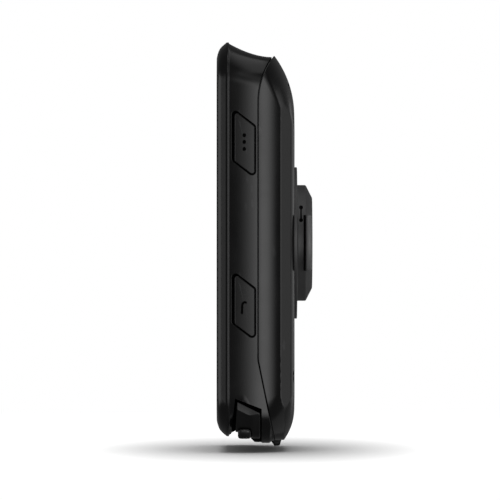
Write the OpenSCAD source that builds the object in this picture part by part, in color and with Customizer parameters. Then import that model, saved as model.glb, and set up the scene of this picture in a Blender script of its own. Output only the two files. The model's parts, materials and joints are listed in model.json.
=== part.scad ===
// Handlebar cycling computer: a glass-fronted case of three mouldings with side buttons, corner keys,
// a charging port behind a hinged door and a quarter-turn mount.
// Millimetres. X runs to the right-hand side of the case, Y from the screen to the back, Z up.
// The origin is the centre of the mount's outer face. Depths are counted from the glass backwards.

/* [Case] */
// Width across the front bezel
case_w = 50; // [48:0.5:64]
// Top edge of the bezel above the mount's axis
case_top = 40.4; // [39.6:0.2:52]
// Bottom edge of the bezel below the mount's axis
case_bottom = 39; // [38:0.2:48]
// Depth of the case from the glass to the rear face
case_d = 15.7; // [15.4:0.1:20]
// Corner radius of the bezel's outline
corner_r = 8; // [6:0.5:10]
// Wall thickness of the mouldings
wall = 1.6; // [1.2:0.1:1.9]

/* [Front bezel] */
// Depth of the bezel
bezel_d = 2.5; // [2.3:0.1:3]
// Depth over which the front edge is rounded
front_round_d = 2; // [1:0.1:2.2]
// How far the straight bevel of the front edge reaches in at the top and bottom
front_bevel = 1.7; // [1:0.1:2]
// How far the rounding of the front edge reaches in past the bevel
front_round = 1.5; // [0.8:0.1:1.7]
// Part of that reach which the left and right edges have
front_side_share = 0.62; // [0.4:0.02:1]
// Thickness of the cover glass
glass_t = 1; // [0.7:0.05:1.1]
// Ledge of the bezel that carries the glass
glass_ledge = 1.6; // [1:0.1:1.8]

/* [Waist] */
// Undercut right behind the bezel's lip
waist_step = 0.25; // [0.1:0.05:0.4]
// How far the waist draws in behind the undercut
waist_in = 2.65; // [1.8:0.05:2.8]
// Depth at which the waist is narrowest
waist_end = 10.9; // [10:0.1:12]
// Exponent of the waist's curve
waist_power = 1.75; // [1.3:0.05:2.4]
// How far the port bay reaches below the bezel's bottom edge
chin_drop = 1.4; // [1.3:0.05:1.6]

/* [Rear shell] */
// Depth of the parting line along the sides
part_d = 8.3; // [8.1:0.1:8.8]
// Height below the bezel's top edge at which the parting line begins to curve back
part_top_drop = 12.4; // [11:0.2:14]
// Radius of that curve
part_top_r = 17.2; // [16:0.2:22]
// Height above the bezel's bottom edge at which the parting line begins to slant back
part_bottom_rise = 15.5; // [14:0.5:18]
// Slant of the parting line there, as depth over height
part_slope = 0.205; // [0.16:0.005:0.22]
// Gap in the parting line
part_gap = 0.2; // [0.1:0.05:0.3]
// How far the rear shell stands proud of the waist at the parting line
rear_lip = 0.3; // [0.1:0.05:0.5]
// How much the radius of the rear shell's sides, seen from above, exceeds the shell's depth
rear_side_over = 1.6; // [1.2:0.1:4]
// Height below the bezel's top edge at which the rear shell's rounded top meets the flat back
rear_top_drop = 14.4; // [13:0.2:16]
// Height over the bezel's top edge that the same curve would reach at the depth of the parting line
rear_top_rise = 0.795; // [0.4:0.005:1]
// Radius of the rear shell's bottom, seen from the side
rear_bottom_r = 10; // [9:0.5:12]
// Height above the bezel's bottom edge at which that radius meets the flat back
rear_bottom_rise = 5.2; // [4:0.2:7]
// Distance of the crease along the sides from the rear face
facet_back = 2.8; // [2.3:0.1:3.3]
// Slope of the panel behind the crease, as width over depth
facet_slope = 1.5; // [1.2:0.1:1.6]

/* [Quarter-turn mount] */
// Radius of the flange against the case
flange_r = 15.5; // [15:0.1:17]
// Thickness of the flange
flange_t = 0.6; // [0.4:0.05:1]
// Radius of the boss
boss_r = 11.85; // [11:0.05:12.5]
// Height of the boss above the flange
boss_h = 3.1; // [2.9:0.05:4]
// Height of the boss's chamfer
boss_chamfer_h = 1.35; // [1:0.05:1.6]
// Radius of the boss's outer face
boss_face_r = 9.2; // [8.8:0.1:10]
// Radius to the ends of the lugs
lug_r = 14.7; // [13:0.1:15]
// Width of a lug
lug_w = 11.3; // [9:0.1:13]
// Thickness of a lug
lug_t = 1.2; // [1:0.05:1.4]
// How far the lugs lie below the boss's outer face
lug_drop = 0.2; // [0.1:0.05:0.3]
// Height of the relief groove under a lug
relief_h = 0.45; // [0.3:0.05:0.6]
// Depth of the relief groove into the boss
relief_depth = 0.9; // [0.5:0.1:1.2]
// Distance of the mount screws from the mount's axis
mount_screw_pitch_r = 6.4; // [5.5:0.1:6.8]

/* [Side buttons] */
// Heights of the right-hand buttons
right_z = [20, -12.6]; // [-14:0.1:20.5]
// Heights of the left-hand buttons
left_z = [20, 4, -12.6]; // [-14:0.1:20.5]
// Depth of the buttons' front edge
btn_d0 = 3.2; // [3:0.1:3.6]
// Depth of the buttons' rear edge
btn_d1 = 7.7; // [7:0.1:7.8]
// Length of a button's front or rear edge
btn_len = 9.3; // [6:0.1:12]
// Slant of a button's ends, as height over depth
btn_slope = 0.77; // [0:0.01:0.9]
// Corner radius of a button
btn_r = 0.9; // [0.4:0.1:1.2]
// How far a button stands proud of the waist
btn_proud = 0.2; // [0:0.05:0.4]
// Travel of a button or key
travel = 0.45; // [0.2:0.05:0.6]
// Radius of a button's stem
stem_r = 1; // [0.8:0.05:1.2]

/* [Corner keys] */
// Depth of a key's front face
key_d0 = 3.5; // [3.3:0.1:4]
// Depth of a key's rear face
key_d1 = 8.8; // [8:0.1:8.9]
// How far a key's outer face lies inside the bezel's side
key_inset = 1; // [0.6:0.1:1.6]
// Width of a key
key_w = 13.5; // [12.5:0.1:14]
// How far a key reaches below the bezel's bottom edge
key_drop = 0.35; // [0:0.05:0.5]
// Height of a key at its front face
key_h = 7.4; // [6.6:0.1:7.6]
// Slant of a key's top, as height over depth
key_slope = 0.39; // [0.2:0.01:0.45]
// Bevel of a key's upper outer edge
key_bevel = 1.1; // [0.5:0.1:1.5]
// Radius of a key's lower outer edge
key_round = 2.6; // [1:0.1:3]
// Distance of a key's stem from the key's inner face
key_stem_in = 1.5; // [1.3:0.05:1.5]

/* [Port door] */
// Half of the door's length
door_half = 8; // [7.6:0.1:8.6]
// Depth of the door's front edge
door_d0 = 6.85; // [6.8:0.05:7]
// Depth of the rear of the door's knuckle
door_d1 = 10.2; // [10.1:0.05:10.3]
// Thickness of the door
door_t = 1.4; // [1.2:0.05:1.6]
// Chamfer of the door's front edge
door_chamfer = 0.8; // [0.2:0.1:1]
// Radius of the door's hinge pin
pin_r = 0.35; // [0.25:0.05:0.4]
// Radius of the door's knuckle
knuckle_r = 0.65; // [0.6:0.05:0.7]

/* [Tether eyelet] */
// Radius of the tether's hole
tether_r = 0.45; // [0.4:0.05:0.6]
// Width of the eyelet
eyelet_w = 6; // [4:0.5:8]
// Thickness of the eyelet
eyelet_t = 2.1; // [2:0.05:2.3]
// How far the eyelet reaches below the port bay
eyelet_drop = 1.1; // [1:0.05:1.4]
// Rounding of the eyelet's lower edges
eyelet_round = 0.55; // [0.3:0.05:0.6]

/* [Inside] */
// Size of the display panel: width, height, thickness
display_size = [39.6, 57, 1.7]; // [1.5:0.1:57]
// Height of the display panel's middle
display_z = 1; // [0.5:0.1:1.5]
// Thickness of the display tray
tray_t = 1; // [0.8:0.1:1.1]
// Depth of the main board's front face
board_d = 6.3; // [6.2:0.1:6.4]
// Thickness of the main board
board_t = 0.9; // [0.6:0.1:1]
// Height of the battery
battery_h = 44; // [36:0.5:45]
// Thickness of the battery
battery_t = 4.4; // [3:0.1:4.5]
// Room between the battery and the inside of the rear shell's sides
battery_gap = 0.12; // [0.1:0.02:2]
// Height of the battery's middle
battery_z = -1.5; // [-1.6:0.1:0]
// Size of the charging port: width, length, thickness
port_size = [7.5, 7, 2.5]; // [2.4:0.1:9]
// Place of the upper case screws: distance from the side and from the top of the case's inside
upper_screws_in = [7.84, 4.4]; // [4:0.02:9]
// Place of the lower case screws: distance outward from a key's stem and above the roof of its pocket
lower_screws_off = [3.8, 3.05]; // [3:0.05:4]
// Radius of a case screw's shank
screw_r = 0.9; // [0.7:0.05:1]
// Depth of the case screws' seats below the rear face
screw_seat_back = 2.3; // [2.1:0.1:2.7]

/* [Clearances] */
// Groove around buttons and keys
btn_gap = 0.25; // [0.2:0.05:0.35]
// Room between fixed pieces
fit_gap = 0.1; // [0.05:0.05:0.15]
// Radial clearance of a running fit
run_gap = 0.05; // [0.03:0.01:0.1]
// Room left behind a pressed button or key
stop_gap = 0.15; // [0.1:0.05:0.2]

/* [Hidden] */
$fn = 48;
arc_n = 8;
far = 60;
tape_t = 0.15;

// Depths, heights and half sizes of the case
total_d = case_d + flange_t + boss_h;
chin_z = case_bottom + chin_drop;
key_z = case_bottom + key_drop;
half_w = case_w / 2;
mid_z = (case_top - case_bottom) / 2;
function y_at(d) = d - total_d;

// Inset of the waist behind the bezel's lip
function waist(d) =
  waist_step + waist_in * (1 - pow(1 - min(1, (d - bezel_d) / (waist_end - bezel_d)), waist_power));

// Cavity of the case
cav_hw = half_w - waist(part_d) - wall;
cav_top = case_top - waist(waist_end) - wall;
cav_bottom = -(case_bottom - waist(part_d) - wall);
cav_r = 5;
cav_end = case_d - wall + fit_gap;

// Port bay: depths between which its lower edge comes out and goes back
chin_rise = [5.2, 7.8];
chin_fall = [10.6, 11.2];
function ramp(d, range) =
  let (t = min(1, max(0, (d - range[0]) / (range[1] - range[0]))))
  t * t * (3 - 2 * t);
function mid_bottom(d) =
  let (s = ramp(d, chin_rise), e = ramp(d, chin_fall))
  (1 - s) * (case_bottom - waist(d)) + s * (chin_z + e * (rear_low - chin_z));

// Rear shell: its lowest edge, corner radii and outlines by depth
rear_drop = 0.95;
rear_low = case_bottom + rear_drop;
rear_corner = [7, 12];
rear_len = case_d - part_d;
rear_side_r = rear_len + rear_side_over;
rear_top_r = (pow(rear_len, 2) + pow(rear_top_drop + rear_top_rise, 2)) / (2 * rear_len);
rear_hw0 = half_w - waist(part_d) + rear_lip;
rear_ahead = 0.5;
rear_start = part_d - rear_ahead;
facet_d = case_d - facet_back;
function rear_hw(d) = rear_hw0 - rear_side_r + sqrt(pow(rear_side_r, 2) - pow(d - part_d, 2));
function rear_top(d) = case_top - rear_top_drop + sqrt(pow(rear_top_r, 2) - pow(d - case_d + rear_top_r, 2));
function rear_bottom(d) =
  let (t = max(0, d - case_d + rear_bottom_r))
  min(rear_low, case_bottom - rear_bottom_rise + sqrt(max(0, pow(rear_bottom_r, 2) - t * t)));
function rear_r(d) =
  rear_corner[0] + (rear_corner[1] - rear_corner[0]) * (d - part_d) / rear_len;
function facet_x(d) = rear_hw(facet_d) - facet_slope * (d - facet_d);

// Parting line by height
part_top = case_top - part_top_drop;
part_bottom = case_bottom - part_bottom_rise;
part_high = part_top + part_top_r * 0.8;
part_low = chin_z + 4;
function part_at(z) =
  z > part_top ? part_d + part_top_r - sqrt(pow(part_top_r, 2) - pow(z - part_top, 2))
  : z < -part_bottom ? part_d + part_slope * (-part_bottom - z)
  : part_d;
part_curve = concat(
  [for (i = [arc_n:-1:0]) let (z = part_top + (part_high - part_top) * i / arc_n) [y_at(part_at(z)), z]],
  [[y_at(part_d), -part_bottom], [y_at(part_at(-part_low)), -part_low]]
);

// Side buttons: floor of the pocket, inner face of the cap, end of the stem
btn_floor = 0.85;
pocket_x = cav_hw + btn_floor;
cap_x = pocket_x + travel + stop_gap;
btn_d = (btn_d0 + btn_d1) / 2;
collar_rim = 0.6;
collar_r = stem_r + collar_rim;
collar_t = 0.5;
stem_end = 1;
seal_rim = 0.85;
seal_r = stem_r + seal_rim;
seal_t = 0.4;

// Switches: plunger and body
plunger_r = 0.6;
plunger_l = 1.6;
plunger_out = 0.7;
switch_l = 3;
switch_w = 3.8;
switch_d0 = 4.25;

// Corner keys
key_x = half_w - key_inset;
key_in = key_x - key_w;
key_wall = 1.2;
key_top_gap = travel + stop_gap;
key_top = -(key_z - key_h);
key_roof_t = 1.4;
key_roof = key_top + key_top_gap + key_roof_t;
key_stem_x = key_in + key_stem_in;
key_tilt = atan(key_slope);

// Port bay
door_z = chin_z + fit_gap;
bay_floor = -(door_z - door_t - 2 * fit_gap);
pin_d = door_d1 - knuckle_r;
pin_z = -(door_z - knuckle_r);
pin_seat = 1;
door_gap = 0.25;
port_gap = 0.15;
plug_half = port_size[0] / 2 - port_gap;
plug_h = 0.5;
plug_d = [1, 0.4];
port_recess = 0.6;
port_low = bay_floor + port_recess;

// Tether eyelet, trapped between the shells
eyelet_d = 12.05;
eyelet_low = -(chin_z + eyelet_drop);
eyelet_hole_z = -(rear_low + run_gap + tether_r);
eyelet_root_w = 8;
eyelet_root_h = 1.6;
eyelet_root_up = 1;
eyelet_root_z = -(rear_low - eyelet_root_up);

// Front
opening_r = 0.5;
opening = [display_size[0] / 2 + fit_gap * 2, display_size[1] / 2 + fit_gap * 2];
front_land = 2;
glass_half = [
  opening[0] + glass_ledge,
  (case_top + case_bottom) / 2 - front_bevel - front_round - front_land
];
glass_lower = 0.05;
glass_mid = mid_z - glass_lower;
glass_r = 5;
tape_edge = 0.2;
display_d = glass_t + tape_t + run_gap;
tray_d = display_d + display_size[2] + fit_gap;
tray_gap = 0.3;
tray_over = 0.8;
tray_half = [cav_hw - tray_gap, display_size[1] / 2 + tray_over];
board_gap = 0.35;
board_half = cav_hw - board_gap;
board_back = board_d + board_t;
post_d = tray_d + tray_t + fit_gap / 2;

// Screws and posts
case_screws_at = [
  [cav_hw - upper_screws_in[0], cav_top - upper_screws_in[1]],
  [key_stem_x + lower_screws_off[0], key_roof + lower_screws_off[1]]
];
boss_wall_r = 1.8;
rear_boss_r = 2.5;
case_head = [1.5, 1];
case_screw_tip = 5.2;
screw_seat_d = case_d - screw_seat_back;
post_r = 1.6;
post_in = 2.65;
post_x = cav_hw - post_in;
root = 0.5;
rib = 1.2;
post_z = [26.5, -20.5];
posts = [for (x = [-post_x, post_x], z = post_z) [x, z]];
board_screw_r = 0.7;
board_head = [1.35, 0.7];
mount_screw_r = 0.7;
mount_head = [1.25, 0.8];
mount_head_drop = 0.25;
mount_screw_bite = 1.05;
mount_screw_tip = case_d - mount_screw_bite;
socket_share = 0.8;
mount_screw_turn = [45, 135, 225, 315];

// Battery and vent
battery_tape_t = 0.2;
battery_back = cav_end - battery_tape_t;
battery_d = battery_back - battery_t;
battery_top = battery_z + battery_h / 2;
battery_bottom = battery_z - battery_h / 2;
inner_shift = wall - fit_gap;

// Half width of the rear shell's inside at a depth and height, with its rounded corners and side panels
function inner_half(d, z) =
  let (
    e = d + inner_shift,
    r = rear_r(e) - inner_shift,
    over = max(0, z - rear_top(e) + inner_shift + r, -z - rear_bottom(e) + inner_shift + r)
  )
  min(
    rear_hw(e) - inner_shift - r + sqrt(pow(r, 2) - pow(over, 2)),
    facet_x(d) - inner_shift * sqrt(1 + pow(facet_slope, 2)),
    cav_hw
  );
battery_room = min(inner_half(battery_back, battery_top), inner_half(battery_back, battery_bottom));
battery_half = battery_room - battery_gap;
battery_pad = [12, 5];
vent_above = 1.9;
vent_pos = [-8, battery_top + vent_above];
vent_r = 0.3;
vent_pitch = 1.2;
membrane_r = 1.55;
membrane_t = 0.2;

black = [0.07, 0.07, 0.075];
charcoal = [0.11, 0.11, 0.115];
rubber = [0.09, 0.09, 0.09];
steel = [0.7, 0.71, 0.73];
green = [0.05, 0.2, 0.12];

// Outline of a rectangle with rounded corners, anticlockwise from its right-hand side
function rounded(x0, x1, z0, z1, r) =
  [for (c = [0:3], i = [0:arc_n])
    let (a = 90 * c + 90 * i / arc_n, x = (c == 0 || c == 3) ? x1 - r : x0 + r, z = c < 2 ? z1 - r : z0 + r)
    [x + r * cos(a), z + r * sin(a)]];

// Outline at a constant distance around a convex polygon
function around(skeleton, r) =
  let (n = len(skeleton))
  [for (i = [0:n - 1], k = [0:arc_n])
    let (
      p = skeleton[i],
      before = p - skeleton[(i + n - 1) % n],
      after = skeleton[(i + 1) % n] - p,
      a0 = atan2(-before[0], before[1]),
      a1 = atan2(-after[0], after[1]),
      a = a0 + (a1 < a0 ? a1 + 360 - a0 : a1 - a0) * k / arc_n
    )
    p + r * [cos(a), sin(a)]];

// A flat outline (x, z) made solid between two depths
module slab(d0, d1) {
  translate([0, y_at(d1), 0])
    rotate([90, 0, 0])
      linear_extrude(d1 - d0)
        children();
}

// A flat outline (y, z) made solid between two widths
module across(x0, x1) {
  translate([x0, 0, 0])
    rotate([90, 0, 90])
      linear_extrude(x1 - x0)
        children();
}

// A box given by two widths, two depths and two heights
module box(x, d, z) {
  translate([x[0], y_at(d[0]), z[0]])
    cube([x[1] - x[0], d[1] - d[0], z[1] - z[0]]);
}

// Round bars along X, along the depth and along Z
module bar_x(x, d, z, r) {
  translate([x[0], y_at(d), z])
    rotate([0, 90, 0])
      cylinder(h = x[1] - x[0], r = r);
}

module bar_d(x, d, z, r) {
  translate([x, y_at(d[1]), z])
    rotate([90, 0, 0])
      cylinder(h = d[1] - d[0], r = r);
}

module bar_z(x, d, z, r) {
  translate([x, y_at(d), z[0]])
    cylinder(h = z[1] - z[0], r = r);
}

module both_sides() {
  children();
  mirror([1, 0, 0]) children();
}

// Places of pieces made for the right-hand wall, at the side buttons and at a bottom corner key
module at_buttons(right, left) {
  for (z = right)
    translate([0, 0, z]) children();
  for (z = left)
    translate([0, 0, z]) mirror([1, 0, 0]) children();
}

module to_key() {
  translate([key_stem_x, 0, key_roof + cav_hw])
    rotate([0, 90, 0]) children();
}

// Room in the edge of a plate for a stem and its collar
module stem_room() {
  half = collar_r + 2 * stop_gap;
  box([cav_hw - stem_end - travel - stop_gap, far], [0, case_d], [-half, half]);
}

// Solid through a row of rings with equal numbers of points
module loft(rings) {
  n = len(rings[0]);
  m = len(rings);
  front = [[for (j = [n - 1:-1:0]) j]];
  back = [[for (j = [0:n - 1]) (m - 1) * n + j]];
  sides = [for (i = [0:m - 2], j = [0:n - 1], k = [0:1])
    let (a = i * n + j, b = i * n + (j + 1) % n)
    k == 0 ? [a, b, b + n] : [a, b + n, a + n]];
  polyhedron([for (r = rings, p = r) p], concat(front, sides, back));
}

function ring(d, outline) = [for (p = outline) [p[0], y_at(d), p[1]]];

// Outer outline of the bezel, drawn in by the bevel and rounding of its front edge
function front_inset(d) =
  let (t = 1 - min(1, d / front_round_d))
  front_bevel * t + front_round * pow(t, 6);
function bezel_ring(d) =
  let (e = front_inset(d), s = e * front_side_share)
  ring(d, rounded(-half_w + s, half_w - s, -case_bottom + e, case_top - e, corner_r - s));

// Outer outline of the middle frame, which may be grown
function mid_ring(d, grow) =
  let (e = waist(d) - grow)
  ring(d, rounded(-half_w + e, half_w - e, -mid_bottom(d) - grow, case_top - e, corner_r - waist(d) / 2));

// Outer outline of the rear shell, which may be shrunk and moved forward for the inside
function rear_ring(d, shrink, shift) =
  ring(d - shift, rounded(-rear_hw(d) + shrink, rear_hw(d) - shrink, -rear_bottom(d) + shrink,
                          rear_top(d) - shrink, rear_r(d) - shrink));

mid_steps = 16;
mid_last = 12.2;
rear_steps = 12;
bezel_steps = 8;
function rear_station(i) = case_d - (case_d - rear_start) * pow(1 - i / rear_steps, 2);

module mid_outer(grow = 0) {
  loft([for (i = [0:mid_steps]) mid_ring(bezel_d + (mid_last - bezel_d) * i / mid_steps, grow)]);
}

// Panel behind the side crease, as the outline (x, y) of what lies inside it
module facet(inset) {
  reach = case_d + 1;
  wide = half_w + 2;
  bend = facet_d - (wide - facet_x(facet_d)) / facet_slope;
  out = inset * sqrt(1 + pow(facet_slope, 2));
  corners = [[wide - out, y_at(bend)], [facet_x(reach) - out, y_at(reach)]];
  translate([0, 0, -far])
    linear_extrude(2 * far)
      polygon(concat([[-wide, y_at(-1)], [wide, y_at(-1)]], corners,
                     [for (i = [1, 0]) [-corners[i][0], corners[i][1]]]));
}

module rear_solid(shrink = 0, shift = 0) {
  intersection() {
    loft([for (i = [0:rear_steps]) rear_ring(rear_station(i), shrink, shift)]);
    facet(shrink);
  }
}

// Everything in front of the parting line, moved back by a shift
module before_parting(shift) {
  front_y = y_at(-1);
  across(-far, far)
    polygon(concat([[front_y, -part_low], [front_y, part_high]], [for (p = part_curve) p + [shift, 0]]));
}

function cavity(grow) =
  rounded(-cav_hw - grow, cav_hw + grow, cav_bottom - grow, cav_top + grow, cav_r + grow);

// Outline (y, z) of a side button's skeleton: the centres of its rounded corners
function btn_skeleton(z) =
  let (
    half = btn_len / 2 - btn_r * sqrt(1 + pow(btn_slope, 2)) + btn_r * btn_slope,
    f = btn_d0 + btn_r,
    b = btn_d1 - btn_r
  )
  [for (c = [[f, -1], [b, -1], [b, 1], [f, 1]]) [y_at(c[0]), z + c[1] * half - btn_slope * (c[0] - btn_d)]];

module btn_pocket(z) {
  across(pocket_x, far) polygon(around(btn_skeleton(z), btn_r + btn_gap));
  bar_x([cav_hw - 1, pocket_x + 1], btn_d, z, stem_r + stop_gap);
  bar_x([pocket_x - seal_t - run_gap, pocket_x + 1], btn_d, z, seal_r + run_gap);
}

// Slanted space under a key's top, raised by a gap; the bevel may be left out
module under_key_top(raise, bevel) {
  translate([0, y_at(key_d0), key_top + raise])
    rotate([-key_tilt, 0, 0])
      translate([0, far / 2, 0])
        rotate([90, 0, 0])
          linear_extrude(far)
            polygon([[0, 0], [key_x - bevel, 0], [key_x, -bevel], [key_x, -far], [0, -far]]);
}

module key_pocket() {
  intersection() {
    box([key_in - btn_gap, far], [key_d0 - btn_gap, key_d1 + btn_gap], [-far, key_top + key_top_gap]);
    translate([key_inset + 2, 0, 0]) under_key_top(key_top_gap, 0);
  }
  bar_z(key_stem_x, btn_d, [-key_z, key_roof + 1], stem_r + stop_gap);
  bar_z(key_stem_x, btn_d, [key_roof - seal_t - run_gap, key_roof + 1], seal_r + run_gap);
}

// Space of the cavity that the walls around the key pockets take up
module key_blocks() {
  both_sides()
    box([key_in - btn_gap - key_wall, far], [0, case_d], [-far, key_roof]);
}

module screw(x, z, head_d, tip_d, r, head) {
  difference() {
    union() {
      bar_d(x, [tip_d, head_d + head[1] / 2], z, r);
      bar_d(x, [head_d, head_d + head[1]], z, head[0]);
    }
    translate([x, y_at(head_d + head[1] + 1), z])
      rotate([90, 0, 0])
        cylinder(h = 1 + head[1] / 2, r = r * socket_share, $fn = 6);
  }
}

module at_case_screws() {
  both_sides()
    for (p = case_screws_at)
      translate([p[0], 0, p[1]]) children();
}

module front_bezel() {
  skirt = 1;
  skirt_r = 2;
  color(black)
    difference() {
      union() {
        loft(concat([for (i = [0:bezel_steps]) bezel_ring(front_round_d * pow(i / bezel_steps, 2))],
                    [bezel_ring(bezel_d - fit_gap / 2)]));
        slab(bezel_d - fit_gap, tray_d - fit_gap / 2)
          polygon(rounded(-cav_hw + fit_gap, cav_hw - fit_gap, display_z - opening[1] - skirt,
                          display_z + opening[1] + skirt, skirt_r));
      }
      slab(-1, bezel_d + 1)
        polygon(rounded(-opening[0], opening[0], display_z - opening[1], display_z + opening[1], opening_r));
      slab(-1, glass_t + tape_t)
        polygon(rounded(-glass_half[0] - fit_gap, glass_half[0] + fit_gap,
                        glass_mid - glass_half[1] - fit_gap, glass_mid + glass_half[1] + fit_gap, glass_r));
    }
}

module cover_glass() {
  color(charcoal)
    slab(0, glass_t)
      polygon(rounded(-glass_half[0], glass_half[0], glass_mid - glass_half[1],
                      glass_mid + glass_half[1], glass_r));
}

module glass_tape() {
  edge = tape_edge;
  color("dimgray")
    difference() {
      slab(glass_t, glass_t + tape_t)
        polygon(rounded(-glass_half[0] + edge, glass_half[0] - edge, glass_mid - glass_half[1] + edge,
                        glass_mid + glass_half[1] - edge, glass_r - edge));
      slab(0, bezel_d)
        polygon(rounded(-opening[0] - edge, opening[0] + edge, display_z - opening[1] - edge,
                        display_z + opening[1] + edge, 2 * opening_r));
    }
}

module display_panel() {
  half = display_size / 2;
  color("darkslategray")
    box([-half[0], half[0]], [display_d, display_d + display_size[2]],
        [display_z - half[1], display_z + half[1]]);
}

flex_half = 6;
flex_t = 0.2;
flex_gap = 0.6;
flex_top = display_z - 24;
flex_low = display_z - 28.2;
flex_plug_h = 1.1;
flex_plug_z = [0.8, 1.6];

module display_tray() {
  color(steel)
    difference() {
      slab(tray_d, tray_d + tray_t)
        polygon(rounded(-tray_half[0], tray_half[0], display_z - tray_half[1],
                        display_z + tray_half[1], 2));
      box([-flex_half - flex_gap, flex_half + flex_gap], [0, case_d], [-far, flex_top + flex_gap]);
      at_buttons(right_z, left_z) stem_room();
    }
}

module display_flex() {
  face = display_d + display_size[2];
  color("darkorange") {
    box([-flex_half, flex_half], [face, face + flex_t], [flex_low, flex_top]);
    box([-flex_half, flex_half], [face, board_d - flex_plug_h], [flex_low, flex_low + flex_t]);
  }
}

module mid_bosses() {
  intersection() {
    union() {
      at_case_screws() bar_d(0, [post_d, case_d], 0, boss_wall_r);
      for (p = posts)
        bar_d(p[0], [post_d, board_d], p[1], post_r);
      both_sides() {
        box([case_screws_at[0][0] - rib, case_screws_at[0][0] + rib], [post_d, case_d],
            [case_screws_at[0][1], cav_top + root]);
        box([case_screws_at[1][0], cav_hw + root], [post_d, case_d],
            [case_screws_at[1][1] - rib, case_screws_at[1][1] + rib]);
        for (z = post_z)
          box([post_x, cav_hw + root], [post_d, board_d], [z - rib, z + rib]);
      }
    }
    before_parting(-part_gap / 2);
  }
}

module seal_frame(grow) {
  inner = 0.35 - grow;
  outer = 1.05 + grow;
  thick = 0.5 + grow;
  intersection() {
    difference() {
      before_parting(thick);
      before_parting(-thick);
    }
    difference() {
      slab(0, case_d) polygon(cavity(outer));
      slab(-1, case_d + 1) polygon(cavity(inner));
    }
  }
}

module eyelet_space(grow) {
  half = eyelet_t / 2 + grow;
  box([-eyelet_w / 2 - grow, eyelet_w / 2 + grow], [eyelet_d - half, eyelet_d + half], [-far, eyelet_root_z]);
  box([-eyelet_root_w / 2 - grow, eyelet_root_w / 2 + grow], [eyelet_d - half, eyelet_d + half],
      [eyelet_root_z - grow, eyelet_root_z + eyelet_root_h + grow]);
}

module bay() {
  half = port_size[0] / 2 + port_gap;
  rear = board_back + port_size[2] + port_gap;
  bay_half = door_half + door_gap;
  box([-bay_half, bay_half], [door_d0 - door_gap, door_d1 + door_gap], [-far, bay_floor]);
  box([-half, half], [board_back - port_gap, rear], [-far, cav_bottom + 1]);
  bar_x([-bay_half - pin_seat, bay_half + pin_seat], pin_d, pin_z, pin_r + run_gap / 2);
}

module mid_housing() {
  color(black)
    difference() {
      union() {
        difference() {
          intersection() {
            mid_outer();
            before_parting(-part_gap / 2);
          }
          difference() {
            slab(0, case_d) polygon(cavity(0));
            key_blocks();
          }
        }
        mid_bosses();
      }
      for (z = right_z) btn_pocket(z);
      mirror([1, 0, 0])
        for (z = left_z) btn_pocket(z);
      both_sides() key_pocket();
      at_case_screws() bar_d(0, [case_screw_tip - 3 * fit_gap, case_d], 0, screw_r + run_gap);
      for (p = posts)
        bar_d(p[0], [post_d - 1, board_d + 1], p[1], board_screw_r + run_gap);
      seal_frame(run_gap);
      bay();
      eyelet_space(fit_gap);
    }
}

module rear_shell() {
  color(charcoal)
    difference() {
      intersection() {
        rear_solid();
        union() {
          difference() {
            translate([-far, y_at(0), -far]) cube(2 * far);
            intersection() {
              rear_solid(inner_shift, inner_shift);
              slab(0, case_d) polygon(cavity(0));
            }
          }
          at_case_screws() bar_d(0, [0, case_d], 0, rear_boss_r);
        }
      }
      before_parting(part_gap / 2);
      at_case_screws() {
        bar_d(0, [0, case_d], 0, screw_r + 2 * run_gap);
        bar_d(0, [screw_seat_d, case_d + 1], 0, case_head[0] + 2 * run_gap);
      }
      for (a = mount_screw_turn)
        bar_d(mount_screw_pitch_r * cos(a), [mount_screw_tip - fit_gap, case_d + 1],
              mount_screw_pitch_r * sin(a), mount_screw_r + run_gap);
      for (i = [-1:1])
        bar_d(vent_pos[0] + i * vent_pitch, [0, case_d + 1], vent_pos[1], vent_r);
      seal_frame(run_gap);
      eyelet_space(fit_gap);
    }
}

module case_seal() {
  color("dimgray") seal_frame(0);
}

module case_screws() {
  color(steel)
    at_case_screws() screw(0, 0, screw_seat_d, case_screw_tip, screw_r, case_head);
}

// Outline (radius, height) of the flange and boss, turned about the mount's axis
module mount_turned() {
  translate([0, y_at(case_d), 0])
    rotate([-90, 0, 0])
      rotate_extrude()
        polygon([[0, 0], [flange_r, 0], [flange_r, flange_t], [boss_r, flange_t],
                 [boss_r, flange_t + boss_h - boss_chamfer_h], [boss_face_r, flange_t + boss_h],
                 [0, flange_t + boss_h]]);
}

module lug_band(r, d0, d1) {
  intersection() {
    bar_d(0, [d0, d1], 0, r);
    box([0, far], [d0, d1], [-lug_w / 2, lug_w / 2]);
  }
}

module mount_insert() {
  lug_top = total_d - lug_drop;
  mark_z = [4.6, 7.2];
  mark_d = case_d + flange_t + 0.75;
  mark_r = 0.4;
  mark_line = 0.15;
  mark_x = [boss_face_r - 0.6, boss_r + 1];
  color(charcoal)
    difference() {
      union() {
        mount_turned();
        for (turn = [0, 180])
          rotate([0, turn, 0]) lug_band(lug_r, lug_top - lug_t, lug_top);
      }
      for (turn = [0, 180])
        rotate([0, turn, 0]) {
          difference() {
            lug_band(boss_r + 1, lug_top - lug_t - relief_h, lug_top - lug_t);
            bar_d(0, [0, total_d], 0, boss_r - relief_depth);
          }
          for (z = mark_z)
            bar_x(mark_x, mark_d, z, mark_r);
          box(mark_x, [mark_d - mark_line, mark_d + mark_line], mark_z);
        }
      for (a = mount_screw_turn) {
        x = mount_screw_pitch_r * cos(a);
        z = mount_screw_pitch_r * sin(a);
        bar_d(x, [0, total_d + 1], z, mount_screw_r + run_gap);
        bar_d(x, [total_d - mount_head_drop - mount_head[1], total_d + 1], z, mount_head[0] + run_gap);
      }
    }
}

module mount_screws() {
  color(steel)
    for (a = mount_screw_turn)
      screw(mount_screw_pitch_r * cos(a), mount_screw_pitch_r * sin(a),
            total_d - mount_head_drop - mount_head[1], mount_screw_tip, mount_screw_r, mount_head);
}

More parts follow.
